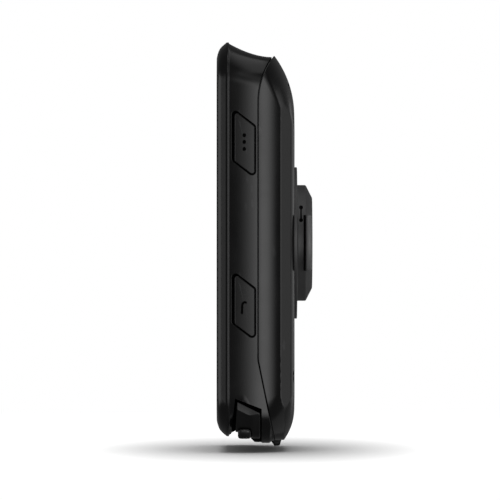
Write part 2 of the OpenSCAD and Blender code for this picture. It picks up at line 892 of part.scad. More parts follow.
module tether_eyelet() {
  half = eyelet_t / 2;
  color(charcoal)
    difference() {
      union() {
        hull() {
          box([-eyelet_w / 2, eyelet_w / 2], [eyelet_d - half, eyelet_d + half],
              [eyelet_low + eyelet_round, eyelet_root_z + fit_gap]);
          for (side = [-1, 1])
            bar_x([-eyelet_w / 2, eyelet_w / 2], eyelet_d + side * (half - eyelet_round),
                  eyelet_low + eyelet_round, eyelet_round);
        }
        box([-eyelet_root_w / 2, eyelet_root_w / 2], [eyelet_d - half, eyelet_d + half],
            [eyelet_root_z, eyelet_root_z + eyelet_root_h]);
      }
      bar_d(0, [0, case_d], eyelet_hole_z, tether_r);
    }
}

module main_board() {
  notch = boss_wall_r + board_gap;
  foot = key_in - btn_gap - key_wall - board_gap;
  screw_a = case_screws_at[0];
  screw_b = case_screws_at[1];
  color(green)
    difference() {
      slab(board_d, board_back)
        polygon(rounded(-board_half, board_half, cav_bottom + board_gap, cav_top - board_gap,
                        cav_r - board_gap));
      both_sides()
        box([foot, far], [0, case_d], [-far, key_roof + board_gap]);
      at_case_screws() bar_d(0, [0, case_d], 0, notch);
      both_sides() {
        box([screw_a[0] - notch, screw_a[0] + notch], [0, case_d], [screw_a[1], far]);
        box([screw_b[0], far], [0, case_d], [screw_b[1] - notch, screw_b[1] + notch]);
      }
      for (p = posts)
        bar_d(p[0], [0, case_d], p[1], board_screw_r + run_gap);
      at_buttons(right_z, left_z) stem_room();
      both_sides() to_key() stem_room();
    }
}

module board_screws() {
  color(steel)
    for (p = posts)
      screw(p[0], p[1], board_back, post_d + 2 * fit_gap, board_screw_r, board_head);
}

can_x = [[-13.5, -1], [1, 13.5]];
can_z = [-6, 15];
can_h = 1.7;

module shield_cans() {
  skin = 0.25;
  color(steel)
    for (x = can_x)
      difference() {
        box(x, [board_d - can_h, board_d], can_z);
        box([x[0] + skin, x[1] - skin], [board_d - can_h + skin, board_d + 1],
            [can_z[0] + skin, can_z[1] - skin]);
      }
}

module board_chips() {
  chip_h = 0.9;
  main_z = [0, 9];
  main_edge = 2;
  row_x = [-11, -4, 4, 11];
  row_z = [-16, -12];
  row_half = 1.5;
  rear_x = [-9, 8];
  rear_z = [2, 7];
  rear_half = 2;
  plug_edge = 1;
  color("black") {
    for (x = can_x)
      box([x[0] + main_edge, x[1] - main_edge], [board_d - chip_h, board_d], main_z);
    box([-flex_half - plug_edge, flex_half + plug_edge], [board_d - flex_plug_h, board_d],
        [flex_low - flex_plug_z[0], flex_low + flex_plug_z[1]]);
    for (x = row_x)
      box([x - row_half, x + row_half], [board_d - chip_h, board_d], row_z);
    for (x = rear_x)
      box([x - rear_half, x + rear_half], [board_back, board_back + chip_h], rear_z);
  }
}

module gps_antenna() {
  half = 9;
  thick = 3.2;
  edge = 0.6;
  low = display_z + tray_half[1] + board_gap;
  color("beige")
    box([-half, half], [board_d - thick, board_d], [low, cav_top - edge]);
}

module radio_antenna() {
  half = 4;
  thick = 1.2;
  span = [20, 22];
  color("white")
    box([-half, half], [board_d - thick, board_d], span);
}

// A switch's body with its well, pushed from +X
module switch_body() {
  face = cav_hw - stem_end - plunger_out;
  difference() {
    box([face - switch_l, face], [switch_d0, board_d], [-switch_w / 2, switch_w / 2]);
    bar_x([face - plunger_l, face + 1], btn_d, 0, plunger_r + run_gap);
  }
}

module switch_bodies() {
  color("silver") {
    at_buttons(right_z, left_z) switch_body();
    both_sides() to_key() switch_body();
  }
}

module seal_ring(base) {
  difference() {
    bar_x([base, base + seal_t], btn_d, 0, seal_r);
    bar_x([base - 1, base + 1], btn_d, 0, stem_r + run_gap);
  }
}

module button_seals() {
  color(rubber) {
    at_buttons(right_z, left_z) seal_ring(pocket_x - seal_t - run_gap / 2);
    both_sides()
      translate([key_stem_x, 0, key_roof - run_gap / 2 + cav_hw])
        rotate([0, 90, 0]) seal_ring(cav_hw);
  }
}

module usb_port() {
  skin = 0.3;
  rear_wall = 1.5;
  tongue = 0.7;
  tongue_side = 1;
  tongue_low = 0.5;
  half = port_size[0] / 2;
  mid = board_back + port_size[2] / 2;
  color(steel)
    difference() {
      box([-half, half], [board_back, board_back + port_size[2]], [port_low, port_low + port_size[1]]);
      difference() {
        box([-half + skin, half - skin], [board_back + skin, board_back + port_size[2] - skin],
            [port_low - 1, port_low + port_size[1] - rear_wall]);
        box([-half + tongue_side, half - tongue_side], [mid - tongue / 2, mid + tongue / 2],
            [port_low + tongue_low, far]);
      }
    }
}

module battery() {
  color("slategray")
    box([-battery_half, battery_half], [battery_d, battery_back], [battery_bottom, battery_top]);
}

module battery_tape() {
  color("khaki")
    for (side = [-1, 1])
      let (z = battery_z + side * battery_pad[0])
        box([-battery_pad[0], battery_pad[0]], [battery_back, cav_end],
            [z - battery_pad[1], z + battery_pad[1]]);
}

lead_pitch = 1.6;
lead_r = 0.45;
lead_deep = 1.2;
lead_d = battery_d + lead_deep;
lead_rise = 3.4;
lead_z = battery_top + lead_rise;
connector_half = [3, 1.4];
connector_t = 1.4;
connector_d = board_back + connector_t;

module battery_connector() {
  color("ivory")
    box([-connector_half[0], connector_half[0]], [board_back, connector_d],
        [lead_z - connector_half[1], lead_z + connector_half[1]]);
}

module battery_lead() {
  color("firebrick")
    for (x = [-lead_pitch / 2, lead_pitch / 2]) {
      bar_z(x, lead_d, [battery_top, lead_z], lead_r);
      translate([x, y_at(lead_d), lead_z]) sphere(lead_r);
      bar_d(x, [connector_d, lead_d], lead_z, lead_r);
    }
}

module beeper() {
  side = [2, 9.8];
  rise = [2, 9];
  thick = 1.9;
  color("gray")
    box(side, [board_back, board_back + thick], [lead_z + rise[0], lead_z + rise[1]]);
}

module pressure_sensor() {
  half = 1.3;
  thick = 1.1;
  color("lightgray")
    box([vent_pos[0] - half, vent_pos[0] + half], [board_back, board_back + thick],
        [vent_pos[1] - half, vent_pos[1] + half]);
}

module vent_membrane() {
  color("white")
    bar_d(vent_pos[0], [cav_end - membrane_t, cav_end], vent_pos[1], membrane_r);
}

module door_pin() {
  color(steel)
    bar_x([-door_half - pin_seat, door_half + pin_seat], pin_d, pin_z, pin_r);
}

// A right-hand side button with its stem and retaining collar
module side_button(z) {
  color(charcoal) {
    intersection() {
      across(cap_x, far) polygon(around(btn_skeleton(z), btn_r));
      mid_outer(btn_proud);
    }
    bar_x([cav_hw - stem_end, cap_x], btn_d, z, stem_r);
    bar_x([cav_hw - stop_gap - collar_t, cav_hw - stop_gap], btn_d, z, collar_r);
  }
}

// The plunger of a switch, pushed from +X
module plunger() {
  color("black")
    bar_x([cav_hw - stem_end - plunger_l, cav_hw - stem_end], btn_d, 0, plunger_r);
}

module menu_button() {
  side_button(right_z[0]);
}

module menu_plunger() {
  at_buttons([right_z[0]], []) plunger();
}

module back_button() {
  side_button(right_z[1]);
}

module back_plunger() {
  at_buttons([right_z[1]], []) plunger();
}

module power_button() {
  mirror([1, 0, 0]) side_button(left_z[0]);
}

module power_plunger() {
  at_buttons([], [left_z[0]]) plunger();
}

module up_button() {
  mirror([1, 0, 0]) side_button(left_z[1]);
}

module up_plunger() {
  at_buttons([], [left_z[1]]) plunger();
}

module down_button() {
  mirror([1, 0, 0]) side_button(left_z[2]);
}

module down_plunger() {
  at_buttons([], [left_z[2]]) plunger();
}

module corner_key() {
  color(charcoal) {
    intersection() {
      slab(key_d0, key_d1)
        polygon(concat([[key_in, -key_z], [key_in, 0], [key_x, 0]],
                       [for (i = [0:arc_n])
                         let (a = -90 * i / arc_n)
                         [key_x - key_round + key_round * cos(a), -key_z + key_round + key_round * sin(a)]]));
      under_key_top(0, key_bevel);
    }
    bar_z(key_stem_x, btn_d, [-key_z + 1, key_roof + stem_end], stem_r);
    bar_z(key_stem_x, btn_d, [key_roof + stop_gap, key_roof + stop_gap + collar_t], collar_r);
  }
}

module start_key() {
  corner_key();
}

module start_plunger() {
  to_key() plunger();
}

module lap_key() {
  mirror([1, 0, 0]) corner_key();
}

module lap_plunger() {
  mirror([1, 0, 0]) to_key() plunger();
}

module port_door() {
  front = y_at(door_d0);
  back = y_at(pin_d);
  mid = board_back + port_size[2] / 2;
  top = -door_z + door_t;
  heel = [0.4, 0.2];
  color(rubber)
    difference() {
      union() {
        across(-door_half, door_half)
          polygon([[front, top], [front, -door_z + door_chamfer], [front + door_chamfer, -door_z],
                   [back, -door_z], [back, top - heel[1]], [back - heel[0], top]]);
        bar_x([-door_half, door_half], pin_d, pin_z, knuckle_r);
        box([-plug_half, plug_half], [mid - plug_d[0], mid + plug_d[1]], [top - fit_gap, top + plug_h]);
      }
      bar_x([-far, far], pin_d, pin_z, pin_r + run_gap);
    }
}

front_bezel();
cover_glass();
glass_tape();
display_panel();
display_tray();
display_flex();
mid_housing();
rear_shell();
case_seal();
case_screws();
mount_insert();
mount_screws();
tether_eyelet();
main_board();
board_screws();
shield_cans();
board_chips();
gps_antenna();
radio_antenna();
switch_bodies();
button_seals();
usb_port();
battery();
battery_tape();
battery_connector();
battery_lead();
beeper();
pressure_sensor();
vent_membrane();
door_pin();
menu_button();
menu_plunger();
back_button();
back_plunger();
power_button();
power_plunger();
up_button();
up_plunger();
down_button();
down_plunger();
start_key();
start_plunger();
lap_key();
lap_plunger();
port_door();
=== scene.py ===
"""Looks of a handlebar cycling computer, built around its packed construction model.

Lengths in the classes are millimetres in the part's own frame: X to the right-hand side, Y from the screen to the
back, Z up, with the origin in the centre of the mount's outer face. A depth d is counted from the front of the
glass backwards, so y = d - TOTAL_DEPTH. Meshes are written in metres.
"""

from __future__ import annotations

import json
import logging
import math
from dataclasses import dataclass
from enum import Enum
from typing import Any, Callable, Sequence

import bmesh
import bpy
import numpy as np
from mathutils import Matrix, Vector

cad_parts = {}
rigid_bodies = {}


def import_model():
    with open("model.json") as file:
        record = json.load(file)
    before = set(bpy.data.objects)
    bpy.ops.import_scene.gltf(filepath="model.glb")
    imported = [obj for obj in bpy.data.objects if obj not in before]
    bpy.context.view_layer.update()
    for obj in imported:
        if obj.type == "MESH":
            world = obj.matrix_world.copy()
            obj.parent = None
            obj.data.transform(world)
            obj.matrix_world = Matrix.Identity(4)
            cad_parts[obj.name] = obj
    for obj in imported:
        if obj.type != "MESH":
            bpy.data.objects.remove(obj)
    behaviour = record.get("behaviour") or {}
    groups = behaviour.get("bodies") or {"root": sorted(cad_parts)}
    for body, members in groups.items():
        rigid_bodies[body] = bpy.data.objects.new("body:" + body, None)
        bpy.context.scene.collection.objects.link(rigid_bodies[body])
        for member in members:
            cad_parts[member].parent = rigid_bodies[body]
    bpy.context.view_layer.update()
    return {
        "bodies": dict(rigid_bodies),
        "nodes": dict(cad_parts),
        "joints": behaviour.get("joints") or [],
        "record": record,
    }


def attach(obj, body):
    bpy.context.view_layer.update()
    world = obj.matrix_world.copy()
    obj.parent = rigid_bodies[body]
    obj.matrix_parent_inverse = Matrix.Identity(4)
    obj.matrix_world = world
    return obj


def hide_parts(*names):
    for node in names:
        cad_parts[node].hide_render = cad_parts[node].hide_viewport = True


Array = np.ndarray
Obj = bpy.types.Object
Material = bpy.types.Material
Socket = bpy.types.NodeSocket
Colour = tuple[float, float, float]
Span = tuple[float, float]
Box = tuple[Span, Span, Span]

LOG = logging.getLogger("cycling_computer")
MM = 0.001
TOTAL_DEPTH = 19.4
SIGNS = (1.0, -1.0)
WHITE = (1.0, 1.0, 1.0, 1.0)
MERGE = 1e-7  # distance in metres at which points become one
SHARP = 38.0  # angle in degrees past which edges stay sharp
NUDGE = 1e-3  # step of the central differences, in millimetres
TINY = 1e-12  # keeps a division safe
PAST_SIDE = 30.0  # where cutters end beside the case
PAST_LOW = -46.0  # where cutters end below the case
# Strokes of the figures 0 to 9, lettered clockwise from the top, with g in the middle.
STROKES = ("abcdef", "bc", "abdeg", "abcdg", "bcfg", "acdfg", "acdefg", "abc", "abcdefg", "abcdfg")


class Body(str, Enum):
    """Bodies of the construction model that pieces ride on."""

    CASE = "case"
    MENU = "menu"
    BACK = "back"
    POWER = "power"
    UP = "up"
    DOWN = "down"
    START = "start"
    LAP = "lap"
    DOOR = "door"


class Side(Enum):
    """Side of the case that a button or key is on, as the sign of X."""

    RIGHT = 1.0
    LEFT = -1.0


class Mark(Enum):
    """Sunken marks on the side buttons."""

    DOTS = "dots"
    HOOK = "hook"
    RING = "ring"
    RISE = "rise"
    FALL = "fall"


class Lit(Enum):
    """What a lamp lights, as a light link's state for the floor."""

    FLOOR = "INCLUDE"
    REST = "EXCLUDE"


# Shapes


class Surface:
    """Points and faces of one piece, gathered from grids before they become a mesh."""

    def __init__(self) -> None:
        """Starts with nothing gathered."""
        self.points: list[Array] = []
        self.faces: list[list[int]] = []
        self.count = 0

    def grid(self, pts: Array, wrap_rows: bool = False, caps: bool = False) -> None:
        """Adds a grid of quads whose columns close into rings.

        Args:
            pts: points, shaped (rows, columns, 3).
            wrap_rows: the last row joins the first, as on a torus.
            caps: the first and last rings are closed with a face each.
        """
        rows, cols = pts.shape[:2]
        index = self.count + np.arange(rows * cols).reshape(rows, cols)
        ends = (index[0, ::-1].tolist(), index[-1].tolist())
        if wrap_rows:
            index = np.vstack([index, index[:1]])
        index = np.hstack([index, index[:, :1]])
        quads = np.stack([index[:-1, :-1], index[:-1, 1:], index[1:, 1:], index[1:, :-1]], axis=-1)
        self.faces.extend(quads.reshape(-1, 4).tolist())
        if caps:
            self.faces.extend(ends)
        self.points.append(pts.reshape(-1, 3))
        self.count += rows * cols

    def build(self, name: str, sharp: float = SHARP) -> Obj:
        """Makes the mesh and its object, with faces outward.

        Args:
            name: name of the piece.
            sharp: edges that turn by more than this angle, in degrees, stay sharp.
        Returns:
            The object, at the origin, unturned and unscaled.
        """
        mesh = bpy.data.meshes.new(name)
        mesh.from_pydata((np.concatenate(self.points) * MM).tolist(), [], self.faces)
        work = bmesh.new()
        work.from_mesh(mesh)
        bmesh.ops.remove_doubles(work, verts=work.verts, dist=MERGE)
        bmesh.ops.recalc_face_normals(work, faces=work.faces)
        work.to_mesh(mesh)
        work.free()
        soften(mesh, sharp)
        obj = bpy.data.objects.new(name, mesh)
        bpy.context.scene.collection.objects.link(obj)
        return obj


def soften(mesh: bpy.types.Mesh, sharp: float) -> None:
    """Shades a mesh smooth, with edges past the angle sharp (degrees) kept."""
    mesh.shade_smooth()
    mesh.set_sharp_from_angle(angle=math.radians(sharp))


def solid(name: str, grids: Sequence[Array], sharp: float = SHARP, torus: bool = False) -> Obj:
    """Makes one piece from grids, each closed with end faces or into a torus.

    Args:
        name: name of the piece.
        grids: points, each shaped (rows, columns, 3).
        sharp: angle in degrees past which edges stay sharp.
        torus: the last row of each grid joins its first.
    Returns:
        The object.
    """
    surface = Surface()
    for pts in grids:
        surface.grid(pts, wrap_rows=torus, caps=not torus)
    return surface.build(name, sharp)


def read(items: Any, name: str, width: int = 1, kind: type = np.float64) -> Array:
    """Reads a number or vector of every item in one of a mesh's collections.

    Args:
        items: the collection.
        name: the property.
        width: numbers in each item.
        kind: type of the numbers.
    Returns:
        An array shaped (n,), or (n, width) for vectors.
    """
    out = np.empty(len(items) * width, dtype=kind)
    items.foreach_get(name, out)
    return out.reshape(-1, width) if width > 1 else out


def carve(body: Obj, cutter: Obj, sharp: float = SHARP, join: bool = False) -> None:
    """Takes the cutter's space away from a piece, or joins it on, and removes the cutter.

    Args:
        body: the piece that is changed.
        cutter: a closed piece.
        sharp: angle in degrees past which edges stay sharp.
        join: adds the space instead.
    """
    step = body.modifiers.new("carve", "BOOLEAN")
    step.solver = "EXACT"
    step.operation = "UNION" if join else "DIFFERENCE"
    step.object = cutter
    graph = bpy.context.evaluated_depsgraph_get()
    mesh = bpy.data.meshes.new_from_object(body.evaluated_get(graph))
    body.modifiers.remove(step)
    old = body.data
    body.data = mesh
    bpy.data.meshes.remove(old)
    bpy.data.objects.remove(cutter)
    mesh.name = body.name
    soften(mesh, sharp)


def polish(obj: Obj, field: Callable[[Array], Array], near: float = 0.02, bend: float = 0.8) -> None:
    """Gives a carved piece the exact normals of the smooth surface it was cut from.

    The surface is where a field is zero, and its normal is the field's slope, taken by central differences. A face
    corner takes it if its point lies on the surface and its face looks the same way.

    Args:
        obj: the carved piece.
        field: distance outside the surface for points (width, depth, height) in millimetres, shaped (n, 3).
        near: largest distance from the surface, in millimetres.
        bend: least cosine between the face and the slope.
    """
    mesh = obj.data
    pts = read(mesh.vertices, "co", 3) / MM + [0.0, TOTAL_DEPTH, 0.0]
    slope = np.stack([field(pts + e) - field(pts - e) for e in NUDGE * np.eye(3)], axis=-1)
    slope /= np.maximum(np.linalg.norm(slope, axis=1, keepdims=True), TINY)
    corner = read(mesh.loops, "vertex_index", kind=np.int32)
    normal = read(mesh.corner_normals, "vector", 3, np.float32)
    sizes = read(mesh.polygons, "loop_total", kind=np.int32)
    face = np.repeat(read(mesh.polygons, "normal", 3), sizes, axis=0)
    fits = (np.abs(field(pts)) < near)[corner] & (np.sum(face * slope[corner], axis=1) > bend)
    normal[fits] = slope[corner][fits]
    mesh.normals_split_custom_set(normal.tolist())


def quarter(steps: int) -> tuple[Array, Array]:
    """Sines and cosines over a quarter turn, from 0 to 90 degrees."""
    a = np.linspace(0.0, math.pi / 2, steps)
    return np.sin(a), np.cos(a)


def least(a: Array, b: Array, k: float) -> Array:
    """Smooth minimum: the lower of a and b, less k h (1 - h) where they are within k of each other."""
    h = np.clip(0.5 + 0.5 * (b - a) / k, 0.0, 1.0)
    return b * (1 - h) + a * h - k * h * (1 - h)


def ramp(t: Array, low: float, high: float) -> Array:
    """Smooth step 3 s^2 - 2 s^3 of t between low and high."""
    s = np.clip((t - low) / (high - low), 0.0, 1.0)
    return s * s * (3 - 2 * s)


def place(x: Array, d: Array, z: Array) -> Array:
    """Points from widths, depths and heights, which are spread to one shape."""
    x, d, z = np.broadcast_arrays(x, d, z)
    return np.stack([x, d - TOTAL_DEPTH, z], axis=-1)


def around(skeleton: Array, arc: int, edge: int) -> tuple[Array, Array]:
    """Walk round a convex polygon, which an offset turns into a rounded outline.

    Each corner is repeated while its direction turns from the normal of the edge before to that of the edge after;
    then the edge is walked with its own normal. Point + r * direction is the outline at distance r.

    Args:
        skeleton: corners, anticlockwise, shaped (n, 2).
        arc: steps in a corner.
        edge: points along an edge.
    Returns:
        Points and directions, each shaped (n * (arc + 1 + edge), 2).
    """
    ahead = np.roll(skeleton, -1, axis=0)
    after = ahead - skeleton
    before = np.roll(after, 1, axis=0)
    a0 = np.arctan2(-before[:, 0], before[:, 1])
    a1 = np.arctan2(-after[:, 0], after[:, 1])
    turn = np.mod(a1 - a0, 2 * math.pi)
    angle = a0[:, None] + turn[:, None] * np.linspace(0.0, 1.0, arc + 1)
    angle = np.hstack([angle, np.repeat(a1[:, None], edge, axis=1)])
    share = np.concatenate([np.zeros(arc + 1), np.arange(1, edge + 1) / (edge + 1)])
    points = skeleton[:, None] * (1 - share[:, None]) + ahead[:, None] * share[:, None]
    return points.reshape(-1, 2), np.stack([np.cos(angle), np.sin(angle)], -1).reshape(-1, 2)


def fillet(corners: Array, radii: Array, steps: int) -> Array:
    """Rounds the corners of a row of polygons.

    With unit vectors u and v along the two edges at a corner and half angle h between them, the arc's centre is
    the corner + (u + v) / |u + v| * r / sin h, and the arc runs between the feet at distance r / tan h.

    Args:
        corners: polygons, shaped (rows, n, 2).
        radii: a radius for each corner, shaped (n,) or (rows, n).
        steps: points in each arc.
    Returns:
        Outlines, shaped (rows, n * steps, 2).
    """
    u = np.roll(corners, 1, axis=1) - corners
    v = np.roll(corners, -1, axis=1) - corners
    u = u / np.linalg.norm(u, axis=-1, keepdims=True)
    v = v / np.linalg.norm(v, axis=-1, keepdims=True)
    middle = u + v
    middle = middle / np.linalg.norm(middle, axis=-1, keepdims=True)
    half = np.arccos(np.clip(np.sum(u * middle, axis=-1), -1, 1))
    radii = np.broadcast_to(radii, half.shape)
    centre = corners + middle * (radii / np.sin(half))[..., None]
    foot = (radii / np.tan(half))[..., None]
    p, q = corners + u * foot - centre, corners + v * foot - centre
    span = np.arctan2(p[..., 0] * q[..., 1] - p[..., 1] * q[..., 0], np.sum(p * q, axis=-1))
    start = np.arctan2(p[..., 1], p[..., 0])
    angle = start[..., None] + span[..., None] * np.linspace(0.0, 1.0, steps)
    arcs = centre[..., None, :] + radii[..., None, None] * np.stack([np.cos(angle), np.sin(angle)], axis=-1)
    return arcs.reshape(corners.shape[0], -1, 2)


def shrink(outlines: Array, e: Array) -> Array:
    """Draws outlines in by e along both axes: each is scaled about its middle by 1 - e / half size.

    Args:
        outlines: shaped (rows, n, 2).
        e: an inset for each row.
    Returns:
        Outlines of the same shape.
    """
    low, high = outlines.min(axis=1, keepdims=True), outlines.max(axis=1, keepdims=True)
    middle, half = (low + high) / 2, (high - low) / 2
    return middle + (outlines - middle) * (1 - np.asarray(e)[:, None, None] / half)


def rounded_ends(low: float, high: float, radius: float, steps: int) -> tuple[Array, Array]:
    """Stations along a bar with rounded ends, and how far the outline is drawn in at each.

    At an end the inset is r - r sin a while the station moves by r - r cos a, for a from 0 to a quarter turn.

    Args:
        low: first end.
        high: other end.
        radius: radius of the ends' edges.
        steps: stations in each rounding.
    Returns:
        Stations and insets.
    """
    s, c = quarter(steps)
    first, inset = low + radius * (1 - c), radius * (1 - s)
    return np.concatenate([first, (low + high) - first[::-1]]), np.concatenate([inset, inset[::-1]])


def turned(profile: Sequence[Span], steps: int) -> Array:
    """Lathe grid: radius and height of each profile point, carried round a full turn.

    Args:
        profile: (radius, height) pairs.
        steps: columns in a turn.
    Returns:
        Points shaped (rows, steps, 3): two coordinates across the axis, then the height.
    """
    r, h = np.array(profile, dtype=float).T
    a = np.linspace(0.0, 2 * math.pi, steps, endpoint=False)
    return np.stack([r[:, None] * np.cos(a), r[:, None] * np.sin(a), np.repeat(h[:, None], steps, axis=1)], axis=-1)


def along_d(pts: Array, x: float = 0.0, z: float = 0.0) -> Array:
    """Lathe points with their axis along the depth, through (x, z); heights are depths."""
    return place(pts[..., 0] + x, pts[..., 2], pts[..., 1] + z)


def along_x(pts: Array, d: float, z: float) -> Array:
    """Lathe points with their axis along X, through (d, z); heights are widths."""
    return place(pts[..., 2], pts[..., 0] + d, pts[..., 1] + z)


def bar_on_x(corners: Sequence[Span], radii: Sequence[float], ends: Span, r: float, steps: int, arc: int) -> Array:
    """Grid of a bar along X: a (d, z) outline with rounded corners, carried along with rounded ends.

    Args:
        corners: the outline's corners.
        radii: a radius for each corner.
        ends: where the bar ends.
        r: radius of the ends' edges.
        steps: stations in each rounding.
        arc: points in each corner.
    Returns:
        Grid of points.
    """
    station, inset = rounded_ends(*ends, r, steps)
    outline = fillet(np.array([corners]), np.array(radii), arc)
    outline = shrink(np.repeat(outline, len(station), axis=0), inset)
    return place(station[:, None], outline[..., 0], outline[..., 1])


def block(x: Span, d: Span, z: Span, r: float) -> Array:
    """Grid of a box with rounded edges, along X."""
    corners = [(d[0], z[0]), (d[1], z[0]), (d[1], z[1]), (d[0], z[1])]
    return bar_on_x(corners, [r] * 4, x, r, 4, 4)


@dataclass(frozen=True)
class Rings:
    """Rounded rectangles at given depths; each field is an array with one row per ring, or the same for all.

    Attributes:
        d: depth.
        half: half of the width.
        top: height of the top edge.
        bottom: distance of the bottom edge below the axis.
        radius: radius of the corners.
    """

    d: Array
    half: Array | float
    top: Array | float
    bottom: Array | float
    radius: Array | float

    def inset(self, e: Array | float) -> Rings:
        """The same rectangles drawn in by e on every side."""
        return Rings(self.d, self.half - e, self.top - e, self.bottom - e, np.maximum(self.radius - e, 0.3))

    def outside(self, x: Array, z: Array) -> Array:
        """Distance of points outside the rectangles: that of a rounded box, |max(q, 0)| + min(max q, 0) - r.

        Args:
            x: widths.
            z: heights.
        Returns:
            A distance for each point, negative inside.
        """
        middle, tall = (self.top - self.bottom) / 2, (self.top + self.bottom) / 2
        qx = np.abs(x) - self.half + self.radius
        qz = np.abs(z - middle) - tall + self.radius
        far = np.hypot(np.maximum(qx, 0.0), np.maximum(qz, 0.0))
        return far + np.minimum(np.maximum(qx, qz), 0.0) - self.radius


@dataclass(frozen=True)
class Walk:
    """Closed walk round a rounded rectangle, with fixed numbers of points in its corners and straights."""

    arc: int = 16
    side: int = 64
    end: int = 32

    def shares(self) -> tuple[Array, Array, Array, Array]:
        """Shares of the corner centres and directions at each step.

        Returns:
            Share of the half width (-1 to 1), share of the top (1) against the bottom (0), and the direction's
            cosine and sine.
        """
        sx, sz = np.array([1.0, -1.0, -1.0, 1.0]), np.array([1.0, 1.0, 0.0, 0.0])
        wx, wz, angle = [], [], []
        for corner, count in enumerate((self.end, self.side, self.end, self.side)):
            ahead = (corner + 1) % 4
            share = np.concatenate([np.zeros(self.arc), np.arange(count) / count])
            wx.append(sx[corner] * (1 - share) + sx[ahead] * share)
            wz.append(sz[corner] * (1 - share) + sz[ahead] * share)
            angle.append(90.0 * corner + 90.0 * np.minimum(np.arange(self.arc + count) / self.arc, 1.0))
        a = np.radians(np.concatenate(angle))
        return np.concatenate(wx), np.concatenate(wz), np.cos(a), np.sin(a)

    def along(self, r: Rings) -> Array:
        """Points on rings: x = wx (half - r) + r cos a, z = wz (top - r) - (1 - wz)(bottom - r) + r sin a.

        Args:
            r: the rings.
        Returns:
            Points shaped (rings, steps, 3).
        """
        wx, wz, ca, sa = self.shares()
        x = wx * (r.half - r.radius) + r.radius * ca
        z = wz * (r.top - r.radius) - (1 - wz) * (r.bottom - r.radius) + r.radius * sa
        return place(x, r.d, z)


